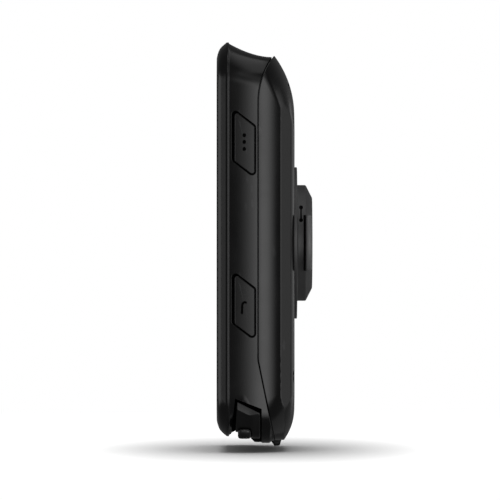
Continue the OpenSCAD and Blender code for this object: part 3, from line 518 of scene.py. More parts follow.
@dataclass(frozen=True)
class CaseForm:
    """Laws of the case's outer form by depth, shared by its mouldings, buttons and keys."""

    half_w: float = 25.0
    top: float = 40.4
    bottom: float = 39.0
    depth: float = 15.7
    corner: float = 8.0
    bezel_d: float = 2.5
    front_round_d: float = 2.0
    front_bevel: float = 1.7
    front_round: float = 1.5
    side_share: float = 0.62
    waist_step: float = 0.25
    waist_in: float = 2.65
    waist_end: float = 10.9
    waist_power: float = 1.75
    chin: float = 40.4
    chin_rise: Span = (5.2, 7.8)
    chin_fall: Span = (10.6, 11.2)
    part_d: float = 8.3
    part_top: float = 28.0
    part_top_r: float = 17.2
    part_bottom: float = 23.5
    part_slope: float = 0.205
    part_gap: float = 0.2
    rounds: int = 40
    rear_low: float = 39.95
    rear_lip: float = 0.3
    rear_side_r: float = 9.0
    rear_top_r: float = 19.3
    rear_top_z: float = 26.0
    rear_bottom_r: float = 10.0
    rear_bottom_z: float = 33.8
    rear_corner: Span = (7.0, 12.0)
    facet_d: float = 12.9
    facet_slope: float = 1.5
    cavity_half: float = 20.84
    cavity_top: float = 35.9
    cavity_bottom: float = 34.84
    cavity_r: float = 5.0
    tether_slot: Box = ((-3.1, 3.1), (10.9, 13.2), (PAST_LOW, -38.85))
    tether_slot_r: float = 0.1

    def waist(self, d: Array) -> Array:
        """Inset behind the lip: step + reach (1 - (1 - t)^power), with t the share of the waist's depth."""
        t = np.clip((np.asarray(d) - self.bezel_d) / (self.waist_end - self.bezel_d), 0.0, 1.0)
        return self.waist_step + self.waist_in * (1 - (1 - t) ** self.waist_power)

    def bezel(self, d: Array) -> Rings:
        """Bezel rings: drawn in by bevel t + round t^6, with t falling from 1 at the front to 0.

        Args:
            d: depths.
        Returns:
            A ring for each depth.
        """
        t = 1 - np.clip(d / self.front_round_d, 0.0, 1.0)
        e = self.front_bevel * t + self.front_round * t**6
        s = e * self.side_share
        return Rings(d, self.half_w - s, self.top - e, self.bottom - e, self.corner - s)

    def mid(self, d: Array) -> Rings:
        """Middle frame's rings: drawn in by the waist, with the port bay's lower edge eased out below.

        Args:
            d: depths.
        Returns:
            A ring for each depth.
        """
        e = self.waist(d)
        out, home = ramp(d, *self.chin_rise), ramp(d, *self.chin_fall)
        low = (1 - out) * (self.bottom - e) + out * (self.chin + home * (self.rear_low - self.chin))
        return Rings(d, self.half_w - e, self.top - e, low, self.corner - e / 2)

    def rear(self, d: Array) -> Rings:
        """Rear shell's rings: each edge follows a circle that ends in the flat back.

        Args:
            d: depths.
        Returns:
            A ring for each depth.
        """
        half = self.half_w - self.waist(self.part_d) + self.rear_lip - self.rear_side_r
        half = half + np.sqrt(np.maximum(0.0, self.rear_side_r**2 - (d - self.part_d) ** 2))
        t = d - self.depth + self.rear_top_r
        top = self.rear_top_z + np.sqrt(np.maximum(0.0, self.rear_top_r**2 - t**2))
        t = np.maximum(0.0, d - self.depth + self.rear_bottom_r)
        low = self.rear_bottom_z + np.sqrt(np.maximum(0.0, self.rear_bottom_r**2 - t**2))
        share = (d - self.part_d) / (self.depth - self.part_d)
        radius = self.rear_corner[0] + (self.rear_corner[1] - self.rear_corner[0]) * share
        return Rings(d, half, top, np.minimum(self.rear_low, low), radius)

    def cavity(self, d: Array) -> Rings:
        """Inside of the case, the same at all depths."""
        return Rings(d, self.cavity_half, self.cavity_top, self.cavity_bottom, self.cavity_r)

    def facet_x(self, d: Array) -> Array:
        """Half width of the panel behind the side crease: a straight line from the crease's width."""
        crease = float(self.rear(np.array(self.facet_d)).half)
        return crease - self.facet_slope * (d - self.facet_d)

    def parting(self, z: Array) -> Array:
        """Depth of the parting line by height: straight, bent back on a circle above and slanting back below.

        Args:
            z: heights.
        Returns:
            A depth for each height.
        """
        up = np.clip(z - self.part_top, 0.0, self.part_top_r)
        down = np.maximum(0.0, -self.part_bottom - z)
        return self.part_d + self.part_top_r - np.sqrt(self.part_top_r**2 - up**2) + self.part_slope * down

    def parting_on(self, walk: Walk, rear: bool) -> Array:
        """Depth at which each line of a walk meets the parting line.

        The depth is put into the outline, the outline's height into the parting's law, and half of the change is
        kept each time, until it stands.

        Args:
            walk: the walk round the case.
            rear: for the rear shell's edge; otherwise for the middle frame's.
        Returns:
            A depth for each point of the walk.
        """
        shift = self.part_gap / 2 if rear else -self.part_gap / 2
        law = self.rear if rear else self.mid
        d = np.full(len(walk.shares()[0]), self.part_d)
        for _ in range(self.rounds):
            d = (d + self.parting(walk.along(law(d))[..., 2]) + shift) / 2
        return d


# Finishes


class Tree:
    """Adds nodes to a node tree and links them."""

    def __init__(self, tree: bpy.types.NodeTree) -> None:
        """Keeps the tree."""
        self.tree = tree

    def add(self, kind: str, values: dict[str | int, Any] | None = None, **settings: Any) -> bpy.types.Node:
        """Adds a node.

        Args:
            kind: Blender's name of the node type.
            values: what its inputs are fed.
            settings: properties of the node.
        Returns:
            The node.
        """
        node = self.tree.nodes.new(kind)
        for name, value in settings.items():
            setattr(node, name, value)
        self.feed(node, values or {})
        return node

    def feed(self, node: bpy.types.Node, values: dict[str | int, Any]) -> None:
        """Sets a node's inputs.

        Args:
            node: the node.
            values: input sockets by name or number, each set to a value or linked from an output socket.
        """
        for name, value in values.items():
            if isinstance(value, Socket):
                self.tree.links.new(value, node.inputs[name])
            else:
                node.inputs[name].default_value = value

    def span(self, value: Socket, low: float, high: float, to_low: float, to_high: float) -> Socket:
        """Map Range from low..high to to_low..to_high, clamped; gives its output socket."""
        values = {"Value": value, "From Min": low, "From Max": high, "To Min": to_low, "To Max": to_high}
        return self.add("ShaderNodeMapRange", values).outputs["Result"]

    def math(self, operation: str, a: Socket | float, b: Socket | float) -> Socket:
        """Math node on two values or sockets; gives its output socket."""
        return self.add("ShaderNodeMath", {0: a, 1: b}, operation=operation).outputs["Value"]

    def blend(self, factor: Socket, a: Socket | Colour, b: Socket | Colour) -> Socket:
        """Mix of two colours by a factor; gives its output socket."""
        a, b = (value if isinstance(value, Socket) else (*value, 1.0) for value in (a, b))
        return self.add("ShaderNodeMix", {0: factor, 6: a, 7: b}, data_type="RGBA").outputs[2]

    def noise(self, at: Socket, scale: Socket | float, detail: float, **more: float) -> Socket:
        """Noise texture; gives its value's socket."""
        return self.add("ShaderNodeTexNoise", {"Vector": at, "Scale": scale, "Detail": detail, **more}).outputs["Fac"]

    def vector(self, operation: str, *values: Socket | Colour) -> bpy.types.Node:
        """Vector Math node on values or sockets."""
        return self.add("ShaderNodeVectorMath", dict(enumerate(values)), operation=operation)

    def choose(self, factor: Socket, a: bpy.types.Node, b: bpy.types.Node) -> Socket:
        """Mix of two shaders by a factor; gives its output socket."""
        return self.add("ShaderNodeMixShader", {0: factor, 1: a.outputs[0], 2: b.outputs[0]}).outputs["Shader"]


class Effect(Enum):
    """Effects that several finishes share, each a node group built once."""

    GRAIN = "eroded_grain"
    HANDLING = "handling_marks"
    EDGE = "polished_edges"
    DUST = "fine_dust"
    BRUSHED = "brushed_lines"

    def group(self) -> bpy.types.ShaderNodeTree:
        """The effect's node group, built on first use.

        Returns:
            The group, with a Scale input and a Mask output.
        """
        made = bpy.data.node_groups.get(self.value)
        if made:
            return made
        tree = bpy.data.node_groups.new(self.value, "ShaderNodeTree")
        tree.interface.new_socket("Scale", in_out="INPUT", socket_type="NodeSocketFloat")
        tree.interface.new_socket("Mask", in_out="OUTPUT", socket_type="NodeSocketFloat")
        t = Tree(tree)
        scale = t.add("NodeGroupInput").outputs["Scale"]
        place_at = t.add("ShaderNodeTexCoord").outputs["Object"]
        mask = getattr(self, "_" + self.name.lower())(t, scale, place_at)
        t.add("NodeGroupOutput", {"Mask": mask})
        return tree

    def _grain(self, t: Tree, scale: Socket, at: Socket) -> Socket:
        """Pits of a spark-eroded mould: rounded cells under a finer noise."""
        cells = t.add("ShaderNodeTexVoronoi", {"Vector": at, "Scale": scale}, feature="SMOOTH_F1").outputs["Distance"]
        return t.math("ADD", t.math("MULTIPLY", cells, t.noise(at, scale, 3.0, Roughness=0.6)), 0.5)

    def _handling(self, t: Tree, scale: Socket, at: Socket) -> Socket:
        """Soft patches where hands have smoothed the surface."""
        return t.span(t.noise(at, scale, 4.0, Roughness=0.55, Distortion=0.6), 0.3, 0.7, 0.0, 1.0)

    def _edge(self, t: Tree, scale: Socket, at: Socket) -> Socket:
        """Outer edges, found by the mesh's curvature and broken up by a noise."""
        bent = t.span(t.add("ShaderNodeNewGeometry").outputs["Pointiness"], 0.52, 0.6, 0.0, 1.0)
        return t.math("MULTIPLY", bent, t.span(t.noise(at, scale, 3.0), 0.35, 0.65, 0.2, 1.0))

    def _dust(self, t: Tree, scale: Socket, at: Socket) -> Socket:
        """Sparse specks: the centres of small cells, thinned out by a slow noise.

        Args:
            t: tree of the group.
            scale: its scale.
            at: place on the object.
        Returns:
            The mask's socket.
        """
        cells = t.add("ShaderNodeTexVoronoi", {"Vector": at, "Scale": scale}).outputs["Distance"]
        specks, thinned = t.span(cells, 0.05, 0.16, 1.0, 0.0), t.span(t.noise(at, 140.0, 2.0), 0.52, 0.68, 0.0, 1.0)
        return t.math("MULTIPLY", specks, thinned)

    def _brushed(self, t: Tree, scale: Socket, at: Socket) -> Socket:
        """Fine parallel lines: a noise stretched along one direction."""
        stretched = t.add("ShaderNodeMapping", {"Vector": at, "Scale": (1.0, 1.0, 0.04)}).outputs["Vector"]
        return t.noise(stretched, scale, 4.0)

    def put(self, t: Tree, scale: float) -> Socket:
        """Places the effect in a material; gives its mask's socket."""
        return t.add("ShaderNodeGroup", {"Scale": scale}, node_tree=self.group()).outputs["Mask"]


@dataclass(frozen=True)
class Finish:
    """Base of all finishes: a material that is built once.

    The frame brings plain materials named for the record's slots, so no finish has a slot's name.
    """

    name: str
    colour: Colour
    roughness: float
    hands_scale: float = 110.0

    def material(self) -> Material:
        """The finish's material, built on first use.

        Returns:
            The material.
        """
        made = bpy.data.materials.get(self.name)
        if made:
            return made
        made = bpy.data.materials.new(self.name)
        made.use_nodes = True
        made.node_tree.nodes.clear()
        t = Tree(made.node_tree)
        plain = (*self.colour, 1.0)
        shader = t.add("ShaderNodeBsdfPrincipled", {"Base Color": plain, "Roughness": self.roughness})
        t.add("ShaderNodeOutputMaterial", {"Surface": shader.outputs["BSDF"]})
        made.diffuse_color = plain
        self.dress(t, shader)
        return made

    def dress(self, t: Tree, shader: bpy.types.Node) -> None:
        """Adds the finish's own nodes; a plain one has none."""

    def handled(self, t: Tree, low: float, high: float) -> Socket:
        """Value that runs from low to high where hands have smoothed the surface; gives its socket."""
        return t.span(Effect.HANDLING.put(t, self.hands_scale), 0.0, 1.0, low, high)

    def put_on(self, obj: Obj) -> None:
        """Gives an object this finish alone."""
        obj.data.materials.clear()
        obj.data.materials.append(self.material())


@dataclass(frozen=True)
class Moulded(Finish):
    """Moulded plastic or rubber: eroded grain, handling marks, polished edges and a little dust."""

    worn: Colour = (0.025, 0.025, 0.026)
    dust: Colour = (0.2, 0.195, 0.185)
    grain_scale: float = 3800.0
    grain_depth: float = 0.000012
    grain_span: Span = (0.5, 1.1)
    pit_shade: float = 0.88
    handling: float = 0.08
    edge: float = 0.5
    edge_scale: float = 900.0
    edge_gloss: float = 0.12
    dusty: float = 0.08
    dust_scale: float = 1500.0
    dust_rough: float = 0.3
    specular: float = 0.5

    def dress(self, t: Tree, shader: bpy.types.Node) -> None:
        """Colour from grain, wear and dust, roughness from handling, wear and dust, relief from the grain.

        Args:
            t: the material's tree.
            shader: its main shader.
        """
        grain = Effect.GRAIN.put(t, self.grain_scale)
        edge = t.math("MULTIPLY", Effect.EDGE.put(t, self.edge_scale), self.edge)
        specks = t.math("MULTIPLY", Effect.DUST.put(t, self.dust_scale), self.dusty)
        pits = tuple(self.pit_shade * c for c in self.colour)
        mottled = t.blend(t.span(grain, *self.grain_span, 0.0, 1.0), pits, self.colour)
        colour = t.blend(specks, t.blend(edge, mottled, self.worn), self.dust)
        rough = self.handled(t, self.roughness + self.handling / 2, self.roughness - self.handling / 2)
        rough = t.math("SUBTRACT", rough, t.math("MULTIPLY", edge, self.edge_gloss))
        rough = t.math("ADD", rough, t.math("MULTIPLY", specks, self.dust_rough))
        bump = t.add("ShaderNodeBump", {"Strength": 1.0, "Distance": self.grain_depth, "Height": grain})
        t.feed(shader, {"Base Color": colour, "Roughness": rough, "Normal": bump.outputs["Normal"],
                        "Specular IOR Level": self.specular})


@dataclass(frozen=True)
class Metal(Finish):
    """Bare or plated metal: brushed lines and handling marks in the roughness."""

    hands_scale: float = 240.0
    line_scale: float = 2600.0
    spread: float = 0.16
    dull: float = 0.72

    def dress(self, t: Tree, shader: bpy.types.Node) -> None:
        """Colour and roughness follow the lines; the metal itself is plain.

        Args:
            t: the material's tree.
            shader: its main shader.
        """
        lines = Effect.BRUSHED.put(t, self.line_scale)
        hands = Effect.HANDLING.put(t, self.hands_scale)
        dull = tuple(self.dull * c for c in self.colour)
        colour = t.blend(t.span(lines, 0.3, 0.7, 0.0, 1.0), dull, self.colour)
        rough = t.span(t.math("MULTIPLY", t.math("ADD", lines, hands), 0.5), 0.2, 0.8,
                       self.roughness - self.spread / 2, self.roughness + self.spread / 2)
        t.feed(shader, {"Base Color": colour, "Roughness": rough, "Metallic": 1.0})


@dataclass(frozen=True)
class Glass(Finish):
    """Cover glass with a trace of handling in its gloss."""

    hands_scale: float = 60.0
    smear: float = 2.5
    ior: float = 1.5

    def dress(self, t: Tree, shader: bpy.types.Node) -> None:
        """Plain transmission; only the roughness varies. The lamps' own rays pass straight to the display.

        Args:
            t: the material's tree.
            shader: its main shader.
        """
        rough = self.handled(t, self.roughness, self.roughness * self.smear)
        t.feed(shader, {"Roughness": rough, "Transmission Weight": 1.0, "IOR": self.ior})
        out = shader.outputs["BSDF"].links[0].to_node
        shade = t.add("ShaderNodeLightPath").outputs["Is Shadow Ray"]
        t.feed(out, {"Surface": t.choose(shade, shader, t.add("ShaderNodeBsdfTransparent"))})


@dataclass(frozen=True)
class Screen(Finish):
    """Reflective display: a fine grid of cells in a pale ground."""

    hands_scale: float = 90.0
    cell: float = 0.00022
    gap: Colour = (0.2, 0.21, 0.2)
    gap_span: Span = (0.36, 0.44)
    spread: float = 0.04

    def dress(self, t: Tree, shader: bpy.types.Node) -> None:
        """Colour darkens along the lines between the cells, which a fraction of X and Z gives.

        Args:
            t: the material's tree.
            shader: its main shader.
        """
        at = t.add("ShaderNodeSeparateXYZ", {"Vector": t.add("ShaderNodeTexCoord").outputs["Object"]})
        lines = []
        for axis in ("X", "Z"):
            part = t.math("FRACT", t.math("DIVIDE", at.outputs[axis], self.cell), 0.0)
            off = t.math("ABSOLUTE", t.math("SUBTRACT", part, 0.5), 0.0)
            lines.append(t.span(off, *self.gap_span, 0.0, 1.0))
        colour = t.blend(t.math("MAXIMUM", *lines), self.colour, self.gap)
        rough = self.handled(t, self.roughness - self.spread, self.roughness + self.spread)
        t.feed(shader, {"Base Color": colour, "Roughness": rough})


@dataclass(frozen=True)
class Board(Finish):
    """Solder mask over copper tracks: cells of tracks show lighter through it."""

    hands_scale: float = 160.0
    track: Colour = (0.03, 0.17, 0.08)
    track_scale: float = 420.0
    track_span: Span = (0.42, 0.5)
    track_relief: float = 0.00003
    spread: float = 0.08

    def dress(self, t: Tree, shader: bpy.types.Node) -> None:
        """Tracks are the borders of square cells; they show in the colour and as relief.

        Args:
            t: the material's tree.
            shader: its main shader.
        """
        at = t.add("ShaderNodeTexCoord").outputs["Object"]
        cells = t.add("ShaderNodeTexVoronoi", {"Vector": at, "Scale": self.track_scale, "Randomness": 0.7},
                      distance="MANHATTAN", feature="F1")
        mask = t.span(cells.outputs["Distance"], *self.track_span, 0.0, 1.0)
        colour = t.blend(mask, self.colour, self.track)
        rough = self.handled(t, self.roughness - self.spread, self.roughness + self.spread)
        bump = t.add("ShaderNodeBump", {"Strength": 0.6, "Distance": self.track_relief, "Height": mask})
        t.feed(shader, {"Base Color": colour, "Roughness": rough, "Normal": bump.outputs["Normal"]})


BEZEL = Moulded("bezel_satin_black", (0.0018, 0.0018, 0.0019), 0.2, grain_depth=0.000004)
HOUSING = Moulded("housing_satin_black", (0.0015, 0.0015, 0.0016), 0.2, grain_depth=0.000005)
SHELL = Moulded("shell_satin_black", (0.0018, 0.0018, 0.0019), 0.2, grain_depth=0.000005)
BUTTON = Moulded("button_soft_black", (0.0018, 0.0018, 0.0019), 0.3, grain_depth=0.000005, edge=0.8)
MOUNT = Moulded("mount_filled_nylon", (0.04, 0.04, 0.0405), 0.42, grain_scale=2400.0, grain_depth=0.000008, edge=0.9)
# A lighter copy of the mount's nylon, laid on the lugs.
LUG = Moulded("mount_lighter_nylon", (0.09, 0.09, 0.091), 0.32, worn=(0.12, 0.12, 0.121), grain_depth=0.000004)
EYELET = Moulded("eyelet_matt_black", (0.002, 0.002, 0.0021), 0.55, edge=0.3, specular=0.3)
RUBBER = Moulded("soft_door_rubber", (0.014, 0.014, 0.014), 0.62, grain_depth=0.00001, edge=0.3, dusty=0.5)
# Painted shade: a dull near-black, nearly without reflection, laid on pocket walls, window walls and groove floors
# where shade falls.
PAINTED_POCKET_SHADE = Moulded("pocket_painted_shade", (0.002, 0.002, 0.0021), 0.75, edge=0.0, dusty=0.0, specular=0.15)
SEAL = Moulded("seal_silicone", (0.03, 0.03, 0.032), 0.55, dusty=0.1)
INK = Moulded("mark_ink", (0.0008, 0.0008, 0.0008), 0.8, edge=0.0, dusty=0.0, specular=0.06)
BORDER = Moulded("glass_border", (0.006, 0.006, 0.0065), 0.7, edge=0.0, dusty=0.0, specular=0.06)
GLASS = Glass("hardened_front_glass", (0.96, 0.97, 0.97), 0.02)
SCREEN = Screen("display_ground", (0.34, 0.36, 0.34), 0.42)
DIGIT = Moulded("display_digits", (0.012, 0.013, 0.012), 0.7, edge=0.0, dusty=0.0, specular=0.06)
STEEL = Metal("screw_black_steel", (0.16, 0.16, 0.165), 0.34)
BRIGHT = Metal("bright_steel", (0.66, 0.67, 0.69), 0.3)
CERAMIC = Moulded("antenna_ceramic", (0.5, 0.46, 0.36), 0.4, worn=(0.6, 0.56, 0.46))
PLUNGER = Moulded("plunger_nylon", (0.03, 0.03, 0.03), 0.45)
CARRIED: dict[str, Finish] = {
    "glass_tape": Moulded("tape_foam", (0.02, 0.02, 0.02), 0.8, edge=0.0),
    "display_panel": SCREEN,
    "display_tray": BRIGHT,
    "display_flex": Board("flex_film", (0.35, 0.14, 0.025), 0.36, track=(0.5, 0.25, 0.06), track_scale=900.0),
    "case_seal": SEAL,
    "main_board": Board("board_mask", (0.012, 0.07, 0.035), 0.36),
    "board_screws": BRIGHT,
    "shield_cans": BRIGHT,
    "board_chips": Moulded("chip_epoxy", (0.02, 0.02, 0.021), 0.5, edge=0.0),
    "gps_antenna": CERAMIC,
    "radio_antenna": CERAMIC,
    "switch_bodies": BRIGHT,
    "button_seals": SEAL,
    "usb_port": BRIGHT,
    "battery": Metal("battery_foil", (0.5, 0.51, 0.53), 0.42, line_scale=500.0),
    "battery_tape": Moulded("tape_clear", (0.42, 0.38, 0.26), 0.5, worn=(0.5, 0.46, 0.34)),
    "battery_connector": Moulded("connector_nylon", (0.55, 0.53, 0.46), 0.45, worn=(0.62, 0.6, 0.54)),
    "battery_lead": Moulded("lead_sleeve", (0.3, 0.02, 0.02), 0.42, worn=(0.4, 0.06, 0.06)),
    "beeper": Moulded("beeper_case", (0.06, 0.06, 0.06), 0.42),
    "pressure_sensor": BRIGHT,
    "vent_membrane": Moulded("membrane_white", (0.7, 0.7, 0.68), 0.7, worn=(0.76, 0.76, 0.75)),
    "door_pin": BRIGHT,
}


# Sub-assemblies


def present(obj: Obj, finish: Finish, body: Body, nodes: Sequence[str] = ()) -> None:
    """Dresses a piece, puts it on its body and reports it.

    Args:
        obj: the piece.
        finish: its finish.
        body: the body that it rides on.
        nodes: construction nodes that it stands for.
    """
    finish.put_on(obj)
    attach(obj, body.value)
    if nodes:
        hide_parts(*nodes)
    LOG.info("%s: %d faces on %s", obj.name, len(obj.data.polygons), body.value)


def line(obj: Obj, field: Callable[[Array], Array], finish: Finish, under: float = 0.25) -> None:
    """Gives a piece's faces that lie under a smooth surface a finish of their own, such as painted shade in recesses.

    A face lies where the middle of its box does.

    Args:
        obj: the piece, already dressed.
        field: distance outside the surface for points (width, depth, height) in millimetres, shaped (n, 3).
        finish: finish of the faces below.
        under: least distance under the surface, in millimetres.
    """
    mesh = obj.data
    corners = read(mesh.loops, "vertex_index", kind=np.int32)
    first = read(mesh.polygons, "loop_start", kind=np.int32)
    points = read(mesh.vertices, "co", 3)[corners] / MM + [0.0, TOTAL_DEPTH, 0.0]
    centre = (np.minimum.reduceat(points, first) + np.maximum.reduceat(points, first)) / 2
    slots = read(mesh.polygons, "material_index", kind=np.int32)
    slots[field(centre) < -under] = len(mesh.materials)
    mesh.materials.append(finish.material())
    mesh.polygons.foreach_set("material_index", slots)


@dataclass
class FrontBezel:
    """Front frame with its rounded front edge and the lip behind it."""

    form: CaseForm
    walk: Walk = Walk()
    glass_half: float = 21.7
    glass_top: float = 35.25
    glass_bottom: float = 33.95
    glass_r: float = 5.0
    ledge_d: float = 1.15
    wall_d: float = 0.6
    glass_edge: float = 0.12
    back_d: float = 2.48
    lip_r: float = 0.15
    lip_flat: float = 0.05
    inner: float = 4.4
    inner_ends: float = 1.6
    stations: int = 18

    def opening(self, d: Array, grow: Array | float) -> Rings:
        """Rings of the glass pocket's wall, grown outwards."""
        sizes = (self.glass_half, self.glass_top, self.glass_bottom, self.glass_r)
        return Rings(d, *(size + grow for size in sizes))

    def points(self) -> Array:
        """Closed profile carried round the case: pocket wall, front land, rounding, lip, back face, ledge.

        Returns:
            Grid of points.
        """
        s, c = quarter(5)
        edge = self.glass_edge
        wall = self.opening(np.array([[self.ledge_d], [self.wall_d], [edge * 2]]), 0.0)
        lead = self.opening(edge * (1 - s)[:, None], edge * (1 - c)[:, None])
        front = self.form.front_round_d * np.linspace(0.0, 1.0, self.stations)[:, None] ** 2
        lip = self.form.bezel(np.array([[self.back_d - self.lip_r - self.lip_flat]]))
        round_d = self.back_d - self.lip_r + self.lip_r * s[:, None]
        round_off = self.form.bezel(round_d).inset(self.lip_r * (1 - c)[:, None])
        ends = self.inner_ends * self.inner
        back = Rings(np.array([[self.back_d], [self.ledge_d]]), self.form.half_w - self.inner,
                     self.form.top - ends, self.form.bottom - ends, self.form.corner - self.inner)
        parts = (wall, lead, self.form.bezel(front), lip, round_off, back)
        return np.concatenate([self.walk.along(p) for p in parts])

    def build(self) -> None:
        """Builds and dresses the bezel."""
        bezel = solid("bezel_moulding", [self.points()], 50.0, torus=True)
        present(bezel, BEZEL, Body.CASE, ["front_bezel"])


@dataclass
class FrontGlass:
    """Cover glass, its printed border, and the plain figures on the display behind it."""

    half: float = 21.6
    top: float = 35.15
    bottom: float = 33.85
    radius: float = 5.0
    thickness: float = 1.0
    chamfer: float = 0.18
    face_in: float = 3.0
    walk: Walk = Walk(arc=14, side=2, end=2)
    sharp: float = 20.0
    border_d: Span = (1.02, 1.06)
    border_in: float = 0.25
    window: tuple[float, float, float] = (18.9, 28.9, 26.9)
    window_r: float = 0.8
    page_d: Span = (1.12, 1.17)
    rows: tuple[tuple[float, float, tuple[int, ...]], ...] = (
        (19.5, 1.0, (2, 7, 4)),
        (1.2, 0.85, (1, 5, 8)),
        (-17.5, 0.85, (0, 4, 6)),
    )
    digit_w: float = 7.0
    digit_h: float = 13.0
    digit_gap: float = 2.2
    stroke: float = 1.5
    stroke_gap: float = 0.12
    point: tuple[float, float, float] = (1.7, 1.5, 0.8)
    rules: tuple[float, ...] = (10.5, -8.0)
    rule_in: float = 3.0
    rule_t: float = 0.3

    def slab(self) -> Array:
        """Rings of the glass: chamfered edges between two faces, each face drawn in to a small middle.

        Returns:
            Grid of points.
        """
        c, t = self.chamfer, self.thickness
        d = np.array([[0.0], [0.0], [c], [t - c], [t], [t]])
        e = np.array([[self.face_in], [c], [0.0], [0.0], [c], [self.face_in]])
        return self.walk.along(Rings(d, self.half, self.top, self.bottom, self.radius).inset(e))

    def frame(self) -> Array:
        """Closed flat ring between the glass's edge and the window.

        Returns:
            Grid of points.
        """
        near, far = self.border_d
        d = np.array([near, far, far, near])[:, None]
        out = np.array([1.0, 1.0, 0.0, 0.0])[:, None]
        edge = np.array([self.half, self.top, self.bottom, self.radius]) - self.border_in
        sizes = out * edge + (1 - out) * np.array([*self.window, self.window_r])
        return self.walk.along(Rings(d, *np.hsplit(sizes, 4)))

    def bar(self, x: float, z: float, length: float, width: float, upright: bool = False) -> Array:
        """A figure's stroke: a flat bar with pointed ends, as a closed slab.

        Args:
            x: its middle.
            z: its middle.
            length: from point to point.
            width: across.
            upright: stands instead of lying.
        Returns:
            Grid of points.
        """
        tip, end = width / 2, length / 2
        run = np.array([-end, tip - end, end - tip, end, end - tip, tip - end])
        rise = np.array([0.0, -tip, -tip, 0.0, tip, tip])
        a, b = (rise, run) if upright else (run, rise)
        return place((x + a)[None, :], np.array(self.page_d)[:, None], (z + b)[None, :])

    def digit(self, value: int, x: float, z: float, size: float) -> list[Array]:
        """A figure of up to seven strokes.

        Args:
            value: 0 to 9.
            x: its middle.
            z: its middle.
            size: share of the full size.
        Returns:
            A slab for each stroke.
        """
        w, h, t = self.digit_w * size, self.digit_h * size, self.stroke * size
        p, q = (w - t) / 2, (h - t) / 2
        spots = {"a": (0, q), "d": (0, -q), "g": (0, 0), "b": (p, q / 2), "c": (p, -q / 2), "e": (-p, -q / 2),
                 "f": (-p, q / 2)}
        slabs = []
        for name in STROKES[value]:
            upright = name in "bcef"
            length = (q if upright else w - t) - self.stroke_gap * size
            slabs.append(self.bar(x + spots[name][0], z + spots[name][1], length, t, upright))
        return slabs

    def page(self) -> list[Array]:
        """A page of plain figures in three rows, with a point in the first and rules between them.

        Returns:
            A slab for each stroke.
        """
        slabs, pitch = [], self.digit_w + self.digit_gap
        length, width, rise = self.point
        for row, (z, size, values) in enumerate(self.rows):
            for i, value in enumerate(values):
                slabs += self.digit(value, (i - 1) * pitch * size, z, size)
            if row == 0:
                slabs.append(self.bar(pitch / 2, z - self.digit_h / 2 + rise, length, width))
        return slabs + [self.bar(0.0, z, 2 * self.window[0] - self.rule_in, self.rule_t) for z in self.rules]

    def build(self) -> None:
        """Builds and dresses the glass, its border and the page."""
        glass = solid("front_glass", [self.slab()], self.sharp)
        present(glass, GLASS, Body.CASE, ["cover_glass"])
        border = solid("glass_border", [self.frame()], self.sharp, torus=True)
        present(border, BORDER, Body.CASE)
        present(solid("display_page", self.page(), self.sharp), DIGIT, Body.CASE)


@dataclass
class MidFrame:
    """Waisted middle frame with its button openings, key pockets and port bay."""

    form: CaseForm
    buttons: Sequence[SideButton]
    keys: Sequence[CornerKey]
    walk: Walk = Walk(arc=20, side=110, end=40)
    stations: int = 40
    start_d: float = 2.5
    edge_r: float = 0.1
    rim: float = 0.16
    sharp: float = 30.0
    roof_x: Span = (9.05, 20.9)
    roof_d: Span = (2.7, 9.6)
    roof_z: Span = (-35.0, -29.95)
    roof_r: float = 0.3
    bay: Box = ((-8.25, 8.25), (6.6, 10.45), (PAST_LOW, -38.9))
    bay_r: float = 0.1
    port: Box = ((-3.9, 3.9), (7.05, 9.85), (-40.0, -33.5))
    port_r: float = 0.3

    def points(self) -> Array:
        """Closed profile: waist from the lip to the parting line, its rounded edge, then the inner wall.

        Returns:
            Grid of points.
        """
        law, s = self.form.mid, np.linspace(0.0, 1.0, self.stations)[:, None]
        end = self.form.parting_on(self.walk, rear=False)
        outer = law(self.start_d + (end - self.edge_r - self.start_d) * s)
        sine, cosine = quarter(4)
        d = end - self.edge_r + self.edge_r * sine[1:, None]
        edge = law(d).inset(self.edge_r * (1 - cosine[1:, None]))
        inner = self.form.cavity(np.stack([end, np.full_like(end, self.start_d)]))
        return np.concatenate([self.walk.along(r) for r in (outer, edge, inner)])

    def field(self, p: Array) -> Array:
        """Distance outside the waist."""
        return self.form.mid(p[:, 1]).outside(p[:, 0], p[:, 2])

    def build(self) -> None:
        """Builds the frame, adds the roofs over the keys, opens its windows and pockets, dresses it and paints shade
        on the walls of its openings.
        """
        frame = solid("mid_frame", [self.points()], self.sharp, torus=True)
        widths = [sorted(sign * x for x in self.roof_x) for sign in SIGNS]
        roofs = [block((low, high), self.roof_d, self.roof_z, self.roof_r) for low, high in widths]
        carve(frame, solid("roof_blocks", roofs), self.sharp, join=True)
        windows = [button.window(self.rim) for button in self.buttons]
        carve(frame, solid("openings", windows + [key.pocket() for key in self.keys]), self.sharp)
        carve(frame, solid("bay", [block(*self.bay, self.bay_r)]), self.sharp)
        slot = block(*self.form.tether_slot, self.form.tether_slot_r)
        carve(frame, solid("port", [block(*self.port, self.port_r), slot]), self.sharp)
        polish(frame, self.field)
        present(frame, HOUSING, Body.CASE, ["mid_housing"])
        # Painted shade on the walls of the windows, key pockets, bay and port, which lie under the waist.
        line(frame, self.field, PAINTED_POCKET_SHADE)
        edges = solid("window_rims", [button.rim(self.rim) for button in self.buttons], 60.0, torus=True)
        present(edges, HOUSING, Body.CASE)
        # Painted shade on the rims' faces that run down into the windows.
        line(edges, self.field, PAINTED_POCKET_SHADE)


